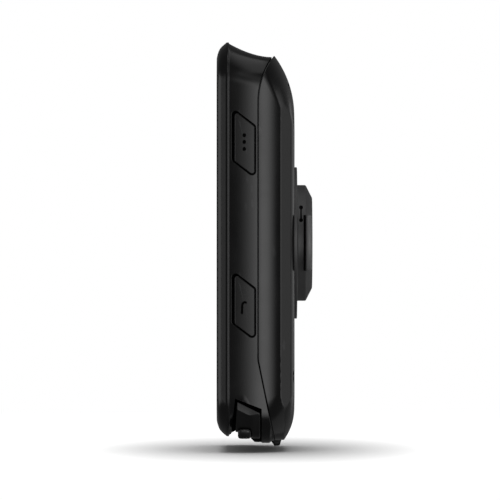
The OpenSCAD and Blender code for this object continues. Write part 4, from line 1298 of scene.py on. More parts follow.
@dataclass
class RearShell:
    """Rear half of the case, with the crease along its sides, screw recesses and vents."""

    form: CaseForm
    walk: Walk = Walk(arc=26, side=80, end=40)
    stations: int = 44
    sharp: float = 26.0
    edge_r: float = 0.12
    ridge_r: float = 0.18
    ridge_z: Span = (31.0, 36.5)
    wall: float = 1.5
    crease: float = 0.2
    back_round: float = 1.2
    middle_z: float = -3.0
    flat_shares: tuple[float, ...] = (0.04, 0.25, 0.5, 0.7, 0.82, 0.88, 0.91, 0.93, 0.945, 0.96, 0.97, 0.98, 0.99)
    inside_shares: tuple[float, ...] = (0.3, 0.6, 0.85, 1.0)
    inside_d: float = 3.0
    inside_x: float = 0.93
    floor_shares: tuple[float, ...] = (0.7, 0.3, 0.04)
    screws: tuple[Span, ...] = ((13.0, 31.5), (15.8, -26.9))
    recess_r: float = 1.6
    seat_d: float = 13.4
    recess_end: float = 20.0
    vents: tuple[float, float, float, float] = (-8.0, 1.2, 22.4, 0.3)
    vent_d: Span = (14.6, 17.0)

    def shaped(self, pts: Array) -> Array:
        """Cuts the side panels and rounds their rear edge.

        |x| is the smooth minimum of itself and the panel's half width at the depth; the depth is the lesser of
        itself and the smooth minimum of the back and of the depth at which the panel passes |x|.

        Args:
            pts: points of the shell before the cut, shaped (rows, columns, 3).
        Returns:
            The points moved.
        """
        f = self.form
        x, d = pts[..., 0], pts[..., 1] + TOTAL_DEPTH
        cut = np.sign(x) * least(np.abs(x), f.facet_x(d), self.crease)
        corner = f.facet_x(np.array(f.depth))
        panel = f.depth - (np.abs(cut) - corner) / f.facet_slope
        d = np.minimum(d, least(np.full_like(d, f.depth), panel, self.back_round))
        return place(cut, d, pts[..., 2])

    def points(self) -> Array:
        """From the middle of the flat back outwards, forward to the parting line, and back along the inside.

        Returns:
            Grid of points.
        """
        f, walk = self.form, self.walk
        start = f.parting_on(walk, rear=True)
        height = walk.along(f.rear(start))[..., 2]
        edge_r = self.edge_r + (self.ridge_r - self.edge_r) * ramp(height, *self.ridge_z)
        t = np.linspace(1.0, 0.0, self.stations)[:, None]
        d = start + edge_r + (f.depth - start - edge_r) * (1 - (1 - t) ** 2)
        outer = walk.along(f.rear(d))
        last = self.shaped(outer[:1])
        middle = np.array([0.0, f.depth - TOTAL_DEPTH, self.middle_z])
        flat = middle + (last - middle) * np.array(self.flat_shares)[:, None, None]
        flat[..., 1] = f.depth - TOTAL_DEPTH
        sine, cosine = quarter(6)
        d = start + edge_r * (1 - sine[1:, None])
        edge = walk.along(f.rear(d).inset(edge_r * (1 - cosine[1:, None])))
        lip = walk.along(f.rear(start[None, :]).inset(self.wall))
        depths = start + (f.depth - self.inside_d - start) * np.array(self.inside_shares)[:, None]
        inner = walk.along(f.rear(depths).inset(self.wall))
        inside = self.shaped(inner)
        inside[..., 0] *= self.inside_x
        floor = np.array([0.0, f.depth - self.wall - TOTAL_DEPTH, self.middle_z])
        close = floor + (inside[-1:] - floor) * np.array(self.floor_shares)[:, None, None]
        close[..., 1] = floor[1]
        return np.concatenate([self.shaped(np.concatenate([flat, outer])), edge, lip, inside, close])

    def field(self, p: Array) -> Array:
        """Distance outside the shell: the largest of those to the outline, to a side panel and to the back.

        Args:
            p: points (width, depth, height) in millimetres, shaped (n, 3).
        Returns:
            A distance for each point, negative inside.
        """
        f, d = self.form, p[:, 1]
        panel = (np.abs(p[:, 0]) - f.facet_x(d)) / math.hypot(1.0, f.facet_slope)
        return np.maximum(np.maximum(f.rear(d).outside(p[:, 0], p[:, 2]), panel), d - f.depth)

    def screw_places(self) -> list[Span]:
        """Places of the four case screws."""
        return [(sign * x, z) for x, z in self.screws for sign in SIGNS]

    def build(self) -> None:
        """Builds the shell, sinks the screw recesses, vents and eyelet slot, and dresses it."""
        shell = solid("rear_moulding", [self.points()], self.sharp)
        recess = turned([(self.recess_r, self.seat_d), (self.recess_r, self.recess_end)], 48)
        sunk = [along_d(recess, x, z) for x, z in self.screw_places()]
        x, pitch, z, r = self.vents
        vent = turned([(r, d) for d in self.vent_d], 20)
        sunk += [along_d(vent, x + i * pitch, z) for i in (-1, 0, 1)]
        sunk.append(block(*self.form.tether_slot, self.form.tether_slot_r))
        carve(shell, solid("recesses", sunk), self.sharp)
        polish(shell, self.field)
        present(shell, SHELL, Body.CASE, ["rear_shell"])


@dataclass
class SideButton:
    """A rhombic side button that follows the waist, with its sunken mark, stem and collar."""

    form: CaseForm
    name: str
    body: Body
    side: Side
    z: float
    mark: Mark
    d0: float = 3.2
    d1: float = 7.7
    length: float = 9.3
    slope: float = 0.77
    radius: float = 0.6
    proud: float = 0.2
    gap: float = 0.15
    front_gap: float = 0.35
    cap_x: float = 22.29
    edge_r: float = 0.32
    foot: tuple[Span, ...] = ((-0.3, 0.0), (-0.05, 0.0), (0.0, 0.06))
    face_start: Span = (0.6, 0.25)
    face_shares: Span = (0.93, 0.05)
    face_rings: int = 15
    floor_x: float = 21.69
    rim_out: float = 0.03
    rim_rise: Span = (0.004, 0.001)
    rim_foot: float = 0.02
    stem_x: float = 19.84
    stem_r: float = 1.0
    stem_ease: float = 0.1
    stem_axis: float = 0.3
    stem_in: float = 0.2
    collar: tuple[float, float, float] = (20.19, 20.69, 1.6)
    mark_deep: float = 0.25
    mark_top: float = 0.3
    ink_deep: float = 0.27
    ink_top: float = 0.2
    sharp: float = 40.0

    def skeleton(self, back: float = 0.0) -> Array:
        """Centres of the rounded corners, as (depth, height); back moves the front pair to the rear.

        Args:
            back: how far the front pair moves.
        Returns:
            Corners, anticlockwise, shaped (4, 2).
        """
        half = self.length / 2 - self.radius * math.hypot(1.0, self.slope) + self.radius * self.slope
        front = self.d0 + back
        d = np.array([front, self.d1, self.d1, front]) + self.radius * np.array([1.0, -1.0, -1.0, 1.0])
        z = self.z + half * np.array([-1.0, -1.0, 1.0, 1.0]) - self.slope * (d - (self.d0 + self.d1) / 2)
        return np.stack([d, z], axis=-1)

    def face_x(self, d: Array) -> Array:
        """Width at which the button's face lies: the waist's own, plus what the button stands proud."""
        return self.form.half_w - self.form.waist(d) + self.proud

    def path(self, back: float = 0.0) -> tuple[Array, Array]:
        """Points and directions of the walk round the button."""
        return around(self.skeleton(back), 8, 10)

    def field(self, p: Array) -> Array:
        """Distance outside the button's face."""
        return self.side.value * p[:, 0] - self.face_x(p[:, 1])

    def cap(self) -> Array:
        """Rings from the underside up the wall, over the rounded edge and in to the middle of the face.

        The first rings stand at given widths; the others lie at a level under the face, which the edge's circle
        gives.

        Returns:
            Grid of points.
        """
        base, way = self.path(self.front_gap)
        middle = self.skeleton(self.front_gap).mean(axis=0)
        s, c = quarter(6)
        r, e = self.radius, self.edge_r
        out, rise = np.array(self.foot).T
        reach = np.concatenate([r + out, [r], r - e * (1 - c), (r - e) * np.array(self.face_start)])
        rings = base[None] + reach[:, None, None] * way[None]
        share = np.linspace(*self.face_shares, self.face_rings)[:, None, None]
        rings = np.concatenate([rings, middle + (rings[-1:] - middle) * share])
        level = np.zeros(len(rings) - len(rise))
        level[:len(s) + 1] = np.concatenate([[e], e * (1 - s)])
        x = self.face_x(rings[..., 0])
        x[:len(rise)] = self.cap_x + rise[:, None]
        x[len(rise):] -= level[:, None]
        return place(self.side.value * x, rings[..., 0], rings[..., 1])

    def window(self, rim: float) -> Array:
        """Prism that opens the case's wall around the button, out to the rim's edge.

        Args:
            rim: radius of the window's edge.
        Returns:
            Grid of points.
        """
        base, way = self.path()
        ring = base + (self.radius + (self.gap + rim)) * way
        x = self.side.value * np.array([[self.floor_x], [PAST_SIDE]])
        return place(x, ring[None, :, 0], ring[None, :, 1])

    def rim(self, rim: float) -> Array:
        """Rounded edge of the window: from the waist's surface over a quarter turn and down the pocket wall.

        Args:
            rim: radius of the window's edge.
        Returns:
            Grid of points.
        """
        base, way = self.path()
        s, c = quarter(6)
        r, out = self.radius + self.gap, self.rim_out
        reach = np.concatenate([[r + rim + out, r + rim], r + rim * (1 - s), [r, r + rim + out]])
        drop = np.concatenate([self.rim_rise, rim * (1 - c)])
        rings = base[None] + reach[:, None, None] * way[None]
        x = np.full(rings.shape[:2], self.floor_x + self.rim_foot)
        x[:len(drop)] = self.form.half_w - self.form.waist(rings[:len(drop), :, 0]) - drop[:, None]
        return place(self.side.value * x, rings[..., 0], rings[..., 1])

    def stem(self) -> Array:
        """Lathe of the stem with its collar.

        Returns:
            Grid of points.
        """
        low, high, wide = self.collar
        a, r, e, x, top = self.stem_axis, self.stem_r, self.stem_ease, self.stem_x, self.cap_x + self.stem_in
        profile = [(a, x), (r - e, x), (r, x + e), (r, low), (wide, low), (wide, high), (r, high), (r, top), (a, top)]
        pts = along_x(turned(profile, 32), (self.d0 + self.d1) / 2, self.z)
        pts[..., 0] *= self.side.value
        return pts

    def stroke(self, path: Array, width: float, deep: float) -> Array:
        """Ribbon with round ends along a path on the face, as a closed slab.

        Args:
            path: points (depth, height), shaped (n, 2).
            width: width of the stroke.
            deep: how far its floor lies under the face.
        Returns:
            Grid of two rings: floor and top.
        """
        step = np.gradient(path, axis=0)
        step = step / np.linalg.norm(step, axis=1, keepdims=True) * width / 2
        left = np.stack([-step[:, 1], step[:, 0]], axis=-1)
        a = np.linspace(0.0, math.pi, 9)[1:-1, None]
        tail = path[-1] - np.cos(a) * left[-1] + np.sin(a) * step[-1]
        head = path[0] + np.cos(a) * left[0] - np.sin(a) * step[0]
        ring = np.concatenate([path - left, tail, (path + left)[::-1], head])
        x = self.face_x(ring[:, 0]) + np.array([[-deep], [self.mark_top]])
        return place(self.side.value * x, ring[None, :, 0], ring[None, :, 1])

    def marks(self, deep: float) -> list[Array]:
        """Slabs of the button's mark, sunk by the given depth.

        Args:
            deep: how far their floors lie under the face.
        Returns:
            A slab for each stroke.
        """
        middle = np.array([(self.d0 + self.d1) / 2, self.z])
        a = np.linspace(0.0, 1.0, 18)[:, None]
        if self.mark is Mark.DOTS:
            short = (a[:3] - a[1]) * np.array([[0.0, 1.0]])
            return [self.stroke(middle + [0.1, z] + short, 0.7, deep) for z in (1.55, 0.2, -1.2)]
        if self.mark is Mark.HOOK:
            turn = math.pi / 2 * (1 - 1.25 * a)
            upright = np.hstack([-0.37 + 0.05 * a, -1.5 + 1.5 * a])
            bend = np.hstack([0.22 - 0.54 * np.sin(turn), 0.66 * np.cos(turn)])
            return [self.stroke(middle + np.concatenate([upright[:-1], bend]), 0.46, deep)]
        if self.mark is Mark.RING:
            arc = 0.8 + (2 * math.pi - 1.6) * a
            bar = np.hstack([0 * a, 0.35 + 0.85 * a])
            return [self.stroke(middle + np.hstack([np.sin(arc), np.cos(arc)]), 0.34, deep),
                    self.stroke(middle + bar, 0.34, deep)]
        up = 1.0 if self.mark is Mark.RISE else -1.0
        turn = np.hstack([1.9 * a - 0.95, up * (1.03 - 2.8 * np.hypot(a - 0.5, 0.2))])
        return [self.stroke(middle + turn, 0.4, deep)]

    def build(self) -> None:
        """Builds the button, sinks its mark, lays the ink in it and dresses both."""
        button = solid(f"{self.name}_cap", [self.cap()], self.sharp)
        for i, pts in enumerate(self.marks(self.mark_deep)):
            carve(button, solid(f"{self.name}_sunk_{i}", [pts]), self.sharp)
        carve(button, solid(f"{self.name}_stem", [self.stem()]), self.sharp, join=True)
        polish(button, self.field)
        present(button, BUTTON, self.body, [f"{self.name}_button"])
        laid = self.marks(self.ink_deep)
        for pts in laid:
            pts[1, :, 0] = self.side.value * (self.face_x(pts[1, :, 1] + TOTAL_DEPTH) - self.ink_top)
        present(solid(f"{self.name}_mark", laid, self.sharp), INK, self.body)


@dataclass
class CornerKey:
    """A bottom corner key: slanted top with a tapering bevel, rounded corner and a finger pad below."""

    name: str
    body: Body
    side: Side
    outer: float = 24.0
    inner: float = 10.5
    d0: float = 4.05
    d1: float = 8.72
    top: float = -31.85
    slope: float = 0.5
    low: float = -38.05
    heel: float = -39.3
    heel_d: Span = (6.6, 7.4)
    bevel: float = 1.45
    bevel_in: float = 0.17
    bevel_d: Span = (6.3, 8.75)
    bevel_taper: float = 0.85
    lean: float = 1.6
    slant: float = 0.045
    inner_r: float = 0.3
    corner_r: float = 2.4
    bevel_r: float = 0.12
    edge_r: float = 0.2
    edge_steps: int = 7
    stations: int = 26
    pad_x: Span = (11.6, 23.2)
    pad_d: Span = (4.25, 6.95)
    pad_z: Span = (-39.34, -37.4)
    pad_r: float = 0.6
    pad_lean: float = 0.3
    pocket_d: Span = (3.7, 9.05)
    pocket_slant: float = 0.11
    pocket_x: float = 10.25
    pocket_top: float = -31.35
    pocket_top_d: float = 0.25
    pocket_slope: float = 0.39

    def points(self) -> Array:
        """Outline in X and Z at each depth, lofted: the bevel tapers to the rear, the heel steps down there.

        The side leans in below the bevel, and the front edge slants forward by its height under the top.

        Returns:
            Grid of points.
        """
        n = self.edge_steps
        ends, inset = rounded_ends(self.d0, self.d1, self.edge_r, n)
        run = np.linspace(self.d0 + self.edge_r, self.d1 - self.edge_r, self.stations)[1:-1]
        d = np.concatenate([ends[:n], run, ends[n:]])
        e = np.concatenate([inset[:n], np.zeros_like(run), inset[n:]])
        top = self.top - self.slope * (d - self.d0)
        low = self.low + (self.heel - self.low) * ramp(d, *self.heel_d)
        b = self.bevel * (1 - ramp(d, *self.bevel_d) * self.bevel_taper)
        inner, outer = np.full_like(d, self.inner), np.full_like(d, self.outer)
        x = np.stack([inner, outer - self.lean, outer, outer - b * self.bevel_in, inner], axis=1)
        z = np.stack([low, low, top - b, top, top], axis=1)
        radii = np.array([self.inner_r, self.corner_r, self.bevel_r, self.bevel_r, self.inner_r])
        outline = shrink(fillet(np.stack([x, z], axis=-1), radii, n), e)
        ahead = self.slant * (outline[..., 1] - self.top) * (self.d1 - d[:, None]) / (self.d1 - self.d0)
        return place(self.side.value * outline[..., 0], d[:, None] + ahead, outline[..., 1])

    def pad(self) -> Array:
        """Finger pad under the key: a rounded bar that leans in with the key's side.

        Returns:
            Grid of points.
        """
        pts = block(self.pad_x, self.pad_d, self.pad_z, self.pad_r)
        pts[..., 0] -= self.pad_lean * (self.pad_z[1] - pts[..., 2])
        pts[..., 0] *= self.side.value
        return pts

    def pocket(self) -> Array:
        """Prism of the pocket in the case's corner: slanted roof, open below and outside, front wall slanted.

        Returns:
            Grid of points.
        """
        front, back = self.pocket_d
        d = np.array([front, back, back, front])
        roof = self.pocket_top - self.pocket_slope * (d - front - self.pocket_top_d)
        z = np.where([True, True, False, False], PAST_LOW, roof)
        d = d + self.pocket_slant * np.where(d == front, z - self.pocket_top, 0.0)
        x = self.side.value * np.array([[self.pocket_x], [PAST_SIDE]])
        return place(x, d[None, :], z[None, :])

    def build(self) -> None:
        """Builds and dresses the key."""
        key = solid(f"{self.name}_cap", [self.points(), self.pad()], 32.0)
        present(key, BUTTON, self.body, [f"{self.name}_key"])


@dataclass
class QuarterTurnMount:
    """Round flange with the quarter-turn boss, its two lugs, and the screws that hold it."""

    face_d: float = TOTAL_DEPTH
    base_d: float = 15.7
    axis_r: float = 0.4
    flange_r: float = 15.5
    flange_t: float = 0.6
    flange_ease: float = 0.15
    root_r: float = 0.2
    boss_r: float = 11.85
    boss_ease: tuple[Span, ...] = ((0.0, -0.25), (-0.03, -0.05), (-0.15, 0.1))
    chamfer_h: float = 1.35
    face_r: float = 9.2
    face_ease: tuple[Span, ...] = ((0.22, -0.1), (0.05, -0.02), (-0.2, 0.0))
    lug_r: float = 14.7
    lug_root: float = 8.0
    lug_half: float = 5.65
    lug_t: float = 1.2
    lug_drop: float = 0.2
    lug_corner: float = 0.9
    lug_edge: float = 0.35
    lug_rise: float = 1.5
    relief_h: float = 0.45
    relief_depth: float = 0.9
    relief_out: float = 1.2
    relief_share: float = 0.93
    relief_r: float = 0.05
    screw_pitch: float = 6.4
    screw_head: Span = (1.25, 0.8)
    screw_drop: float = 0.25
    seat_ease: tuple[Span, ...] = ((0.05, -0.12), (0.2, 0.03), (0.2, 1.6))
    mark_x: Span = (0.6, 1.0)
    mark_z: Span = (4.6, 7.2)
    mark_d: float = 17.05
    mark_r: float = 0.4
    mark_slot: float = 0.15
    mark_slot_r: float = 0.02
    under: float = 0.1
    sharp: float = 30.0

    def turned_body(self) -> Array:
        """Lathe of flange and boss with small roundings at each edge.

        Returns:
            Grid of points.
        """
        a, f, b, top = self.axis_r, self.base_d + self.flange_t, self.boss_r, self.face_d
        s, c = quarter(5)
        e, r = self.flange_ease, self.root_r
        profile = [(a, self.base_d), (self.flange_r, self.base_d)]
        profile += [(self.flange_r - e * (1 - u), f - e + e * v) for u, v in zip(c, s)]
        profile += [(b + r * (1 - u), f + r * (1 - v)) for u, v in zip(s, c)]
        profile += [(b + u, top - self.chamfer_h + v) for u, v in self.boss_ease]
        profile += [(self.face_r + u, top + v) for u, v in self.face_ease]
        return along_d(turned([*profile, (a, top)], 160))

    def lug(self, sign: float) -> Array:
        """A lug: the part of a disc within the lug's width, corners rounded, as a slab with rounded edges.

        Args:
            sign: side of the boss, as the sign of X.
        Returns:
            Grid of points.
        """
        r = self.lug_corner
        reach = math.asin((self.lug_half - r) / (self.lug_r - r))
        a = np.linspace(-reach, reach, 15)
        arc = (self.lug_r - r) * np.stack([np.cos(a), np.sin(a)], axis=-1)
        root = np.array([[self.lug_root, self.lug_half - r], [self.lug_root, -self.lug_half + r]])
        base, way = around(np.concatenate([arc, root]), 4, 1)
        top = self.face_d - self.lug_drop
        d, inset = rounded_ends(top - self.lug_t, top, self.lug_edge, 6)
        ring = base[None] + (r - inset)[:, None, None] * way[None]
        return place(sign * ring[..., 0], d[:, None], ring[..., 1])

    def relief(self, sign: float) -> Array:
        """Space of the groove under a lug: a band of the boss's rim within the lug's width.

        Args:
            sign: side of the boss, as the sign of X.
        Returns:
            Grid of points.
        """
        top = self.face_d - self.lug_drop - self.lug_t
        near, far = (self.boss_r - self.relief_depth) * self.relief_share, self.boss_r + self.relief_out
        x = sorted((sign * near, sign * far))
        return block((x[0], x[1]), (top - self.relief_h, top), (-self.lug_half, self.lug_half), self.relief_r)

    def mark(self, sign: float) -> list[Array]:
        """Detent mark: two round dimples joined by a slot.

        Args:
            sign: side of the boss, as the sign of X.
        Returns:
            A grid for each dimple and for the slot.
        """
        x0, x1 = sign * (self.face_r - self.mark_x[0]), sign * (self.boss_r + self.mark_x[1])
        pit, d, half = turned([(self.mark_r, x0), (self.mark_r, x1)], 24), self.mark_d, self.mark_slot
        x, z = sorted((x0, x1)), sorted(sign * z for z in self.mark_z)
        slot = block((x[0], x[1]), (d - half, d + half), (z[0], z[1]), self.mark_slot_r)
        return [*(along_x(pit, d, sign * z) for z in self.mark_z), slot]

    def sunk(self, p: Array) -> Array:
        """Distance outside the grooves and marks in the boss's rim.

        Args:
            p: points (width, depth, height) in millimetres, shaped (n, 3).
        Returns:
            A distance for each point, negative inside.
        """
        r, d = np.hypot(p[:, 0], p[:, 2]), p[:, 1]
        root = self.base_d + self.flange_t + self.root_r
        return np.maximum.reduce([r - self.boss_r, self.face_r - r, d - self.face_d + self.chamfer_h, root - d])

    def rubbed(self, p: Array) -> Array:
        """Distance outside the lugs, which take a lighter copy of the mount's finish."""
        out = self.boss_r + self.root_r - np.hypot(p[:, 0], p[:, 2])
        return np.maximum(out, self.base_d + self.lug_rise - p[:, 1])

    def screws(self) -> list[Span]:
        """Places of the four screws, on the diagonals."""
        a = np.radians([45.0, 135.0, 225.0, 315.0])
        return list(zip(self.screw_pitch * np.cos(a), self.screw_pitch * np.sin(a)))

    def build(self) -> None:
        """Builds the mount, sinks its grooves, marks and screw seats, and dresses it, with painted shade in the
        grooves and marks and a lighter finish on the lugs.
        """
        mount = solid("quarter_turn_mount", [self.turned_body()], self.sharp)
        for sign in SIGNS:
            carve(mount, solid("lug", [self.lug(sign)]), self.sharp, join=True)
            for pts in (self.relief(sign), *self.mark(sign)):
                carve(mount, solid("groove", [pts]), self.sharp)
        r, h = self.screw_head
        profile = [(r + self.seat_ease[0][0], self.face_d - self.screw_drop - h)]
        seat = turned(profile + [(r + u, self.face_d + v) for u, v in self.seat_ease], 40)
        carve(mount, solid("seats", [along_d(seat, x, z) for x, z in self.screws()]), self.sharp)
        present(mount, MOUNT, Body.CASE, ["mount_insert"])
        # Painted shade in the grooves under the lugs and in the detent marks.
        line(mount, self.sunk, PAINTED_POCKET_SHADE, self.under)
        # The lugs take a lighter copy of the mount's finish.
        line(mount, self.rubbed, LUG, self.under)


@dataclass
class SocketScrews:
    """A set of equal screws with hexagon sockets, heads towards the back."""

    name: str
    node: str
    places: Sequence[Span]
    seat_d: float
    tip_d: float
    shank_r: float
    head: Span
    socket_r: float
    tip: Span = (0.5, 0.25)
    head_ease: tuple[Span, ...] = ((0.0, -0.18), (-0.05, -0.06), (-0.18, 0.0))
    foot_ease: tuple[Span, ...] = ((-0.05, 0.0), (0.0, 0.06))
    socket_ease: float = 0.07
    socket_deep: float = 0.5
    axis_r: float = 0.15
    steps: int = 48

    def points(self, x: float, z: float) -> Array:
        """Lathe from the tip over the head into the socket, whose radius is a / cos of the angle from a flat.

        Args:
            x: the screw's place.
            z: the screw's place.
        Returns:
            Grid of points.
        """
        (r, h), e, shank = self.head, self.socket_ease, self.shank_r
        top, floor = self.seat_d + h, self.seat_d + h - self.socket_deep * h
        shaft = [(shank * self.tip[0], self.tip_d), (shank, self.tip_d + self.tip[1]), (shank, self.seat_d)]
        shaft += [(r + u, self.seat_d + v) for u, v in self.foot_ease] + [(r + u, top + v) for u, v in self.head_ease]
        socket = [(self.socket_r + e, top), (self.socket_r, top - e), (self.socket_r, floor), (self.axis_r, floor)]
        pts = turned(shaft + socket, self.steps)
        a = np.linspace(0.0, 2 * math.pi, self.steps, endpoint=False)
        flat = math.cos(math.pi / 6) / np.cos(np.mod(a, math.pi / 3) - math.pi / 6)
        pts[len(shaft):, :, :2] *= flat[None, :, None]
        return along_d(pts, x, z)

    def build(self) -> None:
        """Builds and dresses the screws as one piece."""
        screws = solid(self.name, [self.points(x, z) for x, z in self.places], 34.0)
        present(screws, STEEL, Body.CASE, [self.node])


@dataclass
class PortDoor:
    """Rubber door over the charging port: slab with chamfered front edge, hinge knuckle and plug."""

    half: float = 8.0
    front: float = 6.85
    rear: float = 10.2
    low: float = -40.5
    top: float = -39.1
    chamfer: float = 0.8
    knuckle: Span = (0.9, 0.1)
    rounds: tuple[float, ...] = (0.15, 0.3, 0.5, 0.62, 0.55, 0.25)
    round_side: float = 0.25
    plug_x: float = 3.6
    plug_d: Span = (7.45, 8.85)
    plug_top: float = -38.6
    plug_in: float = 0.3
    plug_r: float = 0.25
    grip: tuple[float, float, float] = (3.0, 0.35, 0.12)
    grip_d: float = 1.55
    grip_pitch: float = 0.75
    grip_r: float = 0.05
    sharp: float = 34.0

    def slab(self) -> Array:
        """Outline in depth and height, its rear end rounded about the pin, carried along X with rounded ends.

        Returns:
            Grid of points.
        """
        front, rear, low, top, c = self.front, self.rear, self.low, self.top, self.chamfer
        corners = [(front, top), (front, low + c), (front + c, low), (rear, low), (rear, top - self.knuckle[1]),
                   (rear - self.knuckle[0], top)]
        return bar_on_x(corners, self.rounds, (-self.half, self.half), self.round_side, 5, 7)

    def build(self) -> None:
        """Builds the door with its plug, sinks the grip and dresses it."""
        plug = block((-self.plug_x, self.plug_x), self.plug_d, (self.top - self.plug_in, self.plug_top), self.plug_r)
        door = solid("port_flap", [self.slab(), plug], self.sharp)
        half, wide, deep = self.grip
        height = (self.low - 1.0, self.low + deep)
        middles = [self.front + self.grip_d + self.grip_pitch * i for i in (-1, 0, 1)]
        grooves = [block((-half, half), (d - wide / 2, d + wide / 2), height, self.grip_r) for d in middles]
        carve(door, solid("grip", grooves), self.sharp)
        present(door, RUBBER, Body.DOOR, ["port_door"])


@dataclass
class TetherEyelet:
    """Small lug for a tether, trapped between the shells and drilled from front to back."""

    half: float = 3.0
    d: float = 12.05
    thickness: float = 2.1
    low: float = -41.49
    high: float = -38.95
    nose_z: float = -40.45
    nose: float = 0.7
    heel: Span = (0.3, 0.12)
    rounds: tuple[float, ...] = (0.2, 0.3, 0.3, 0.2, 0.1, 0.1)
    round_side: float = 0.5
    hole_z: float = -40.45
    hole_r: float = 0.45
    hole_ease: float = 0.12
    sharp: float = 34.0

    def faces(self) -> Span:
        """Depths of the lug's front and back."""
        return self.d - self.thickness / 2, self.d + self.thickness / 2

    def bar(self) -> Array:
        """Wedge in depth and height with rounded lower edges, carried along X with rounded ends.

        Returns:
            Grid of points.
        """
        (front, back), (step, rise) = self.faces(), self.heel
        corners = [(front, self.nose_z), (front + self.nose, self.low), (back - step, self.low + rise),
                   (back, self.nose_z + rise), (back, self.high), (front, self.high)]
        return bar_on_x(corners, self.rounds, (-self.half, self.half), self.round_side, 6, 7)

    def hole(self) -> Array:
        """Lathe of the hole, with eased mouths.

        Returns:
            Grid of points.
        """
        r, e, (front, back) = self.hole_r, self.hole_ease, self.faces()
        profile = [(r + 2 * e, front - e), (r, front + e), (r, back - e), (r + 2 * e, back + e)]
        return along_d(turned(profile, 32), 0.0, self.hole_z)

    def build(self) -> None:
        """Builds the lug, drills it and dresses it."""
        lug = solid("tether_lug", [self.bar()], self.sharp)
        carve(lug, solid("tether_hole", [self.hole()]), self.sharp)
        present(lug, EYELET, Body.CASE, ["tether_eyelet"])


# Studio


@dataclass(frozen=True)
class Softbox:
    """A flat lamp that faces the object.

    Attributes:
        name: its name.
        around: angle from the camera's side towards the back of the object, in degrees.
        above: angle above the table, in degrees.
        size: width and height, in metres.
        radiance: brightness of its face at its first and last edge along the angle, where 1 is white.
        distance: how far it stands off, in metres.
        soft: share of the height over which it fades out at its top and at its bottom.
    """

    name: str
    around: float
    above: float
    size: Span
    radiance: Span
    distance: float = 1.5
    soft: float = 0.0

    def build(self, lit: bpy.types.Collection) -> None:
        """Hangs the lamp; with four times its area as power a face of strength 1 is white.

        The strength runs evenly from the first radiance to the last over the lamp's width.

        Args:
            lit: collection that says what the lamp lights.
        """
        lamp = bpy.data.lights.new(self.name, "AREA")
        lamp.shape = "RECTANGLE"
        lamp.size, lamp.size_y = self.size
        lamp.energy = 4.0 * self.size[0] * self.size[1]
        lamp.use_nodes = True
        lamp.node_tree.nodes.clear()
        t = Tree(lamp.node_tree)
        across = t.add("ShaderNodeSeparateXYZ", {"Vector": t.add("ShaderNodeNewGeometry").outputs["Parametric"]})
        level = t.span(across.outputs["X"], 0.0, 1.0, *self.radiance)
        if self.soft:
            inside = t.math("PINGPONG", across.outputs["Y"], 0.5)
            level = t.math("MULTIPLY", level, t.span(inside, 0.0, self.soft, 0.0, 1.0))
        glow = t.add("ShaderNodeEmission", {"Color": WHITE, "Strength": level})
        t.add("ShaderNodeOutputLight", {"Surface": glow.outputs[0]})
        obj = bpy.data.objects.new(self.name, lamp)
        bpy.context.scene.collection.objects.link(obj)
        a, e = math.radians(self.around), math.radians(self.above)
        way = Vector((math.cos(e) * math.cos(a), math.cos(e) * math.sin(a), math.sin(e)))
        obj.location = way * self.distance
        obj.rotation_euler = (-way).to_track_quat("-Z", "Y").to_euler()
        obj.visible_camera = False
        obj.light_linking.receiver_collection = lit


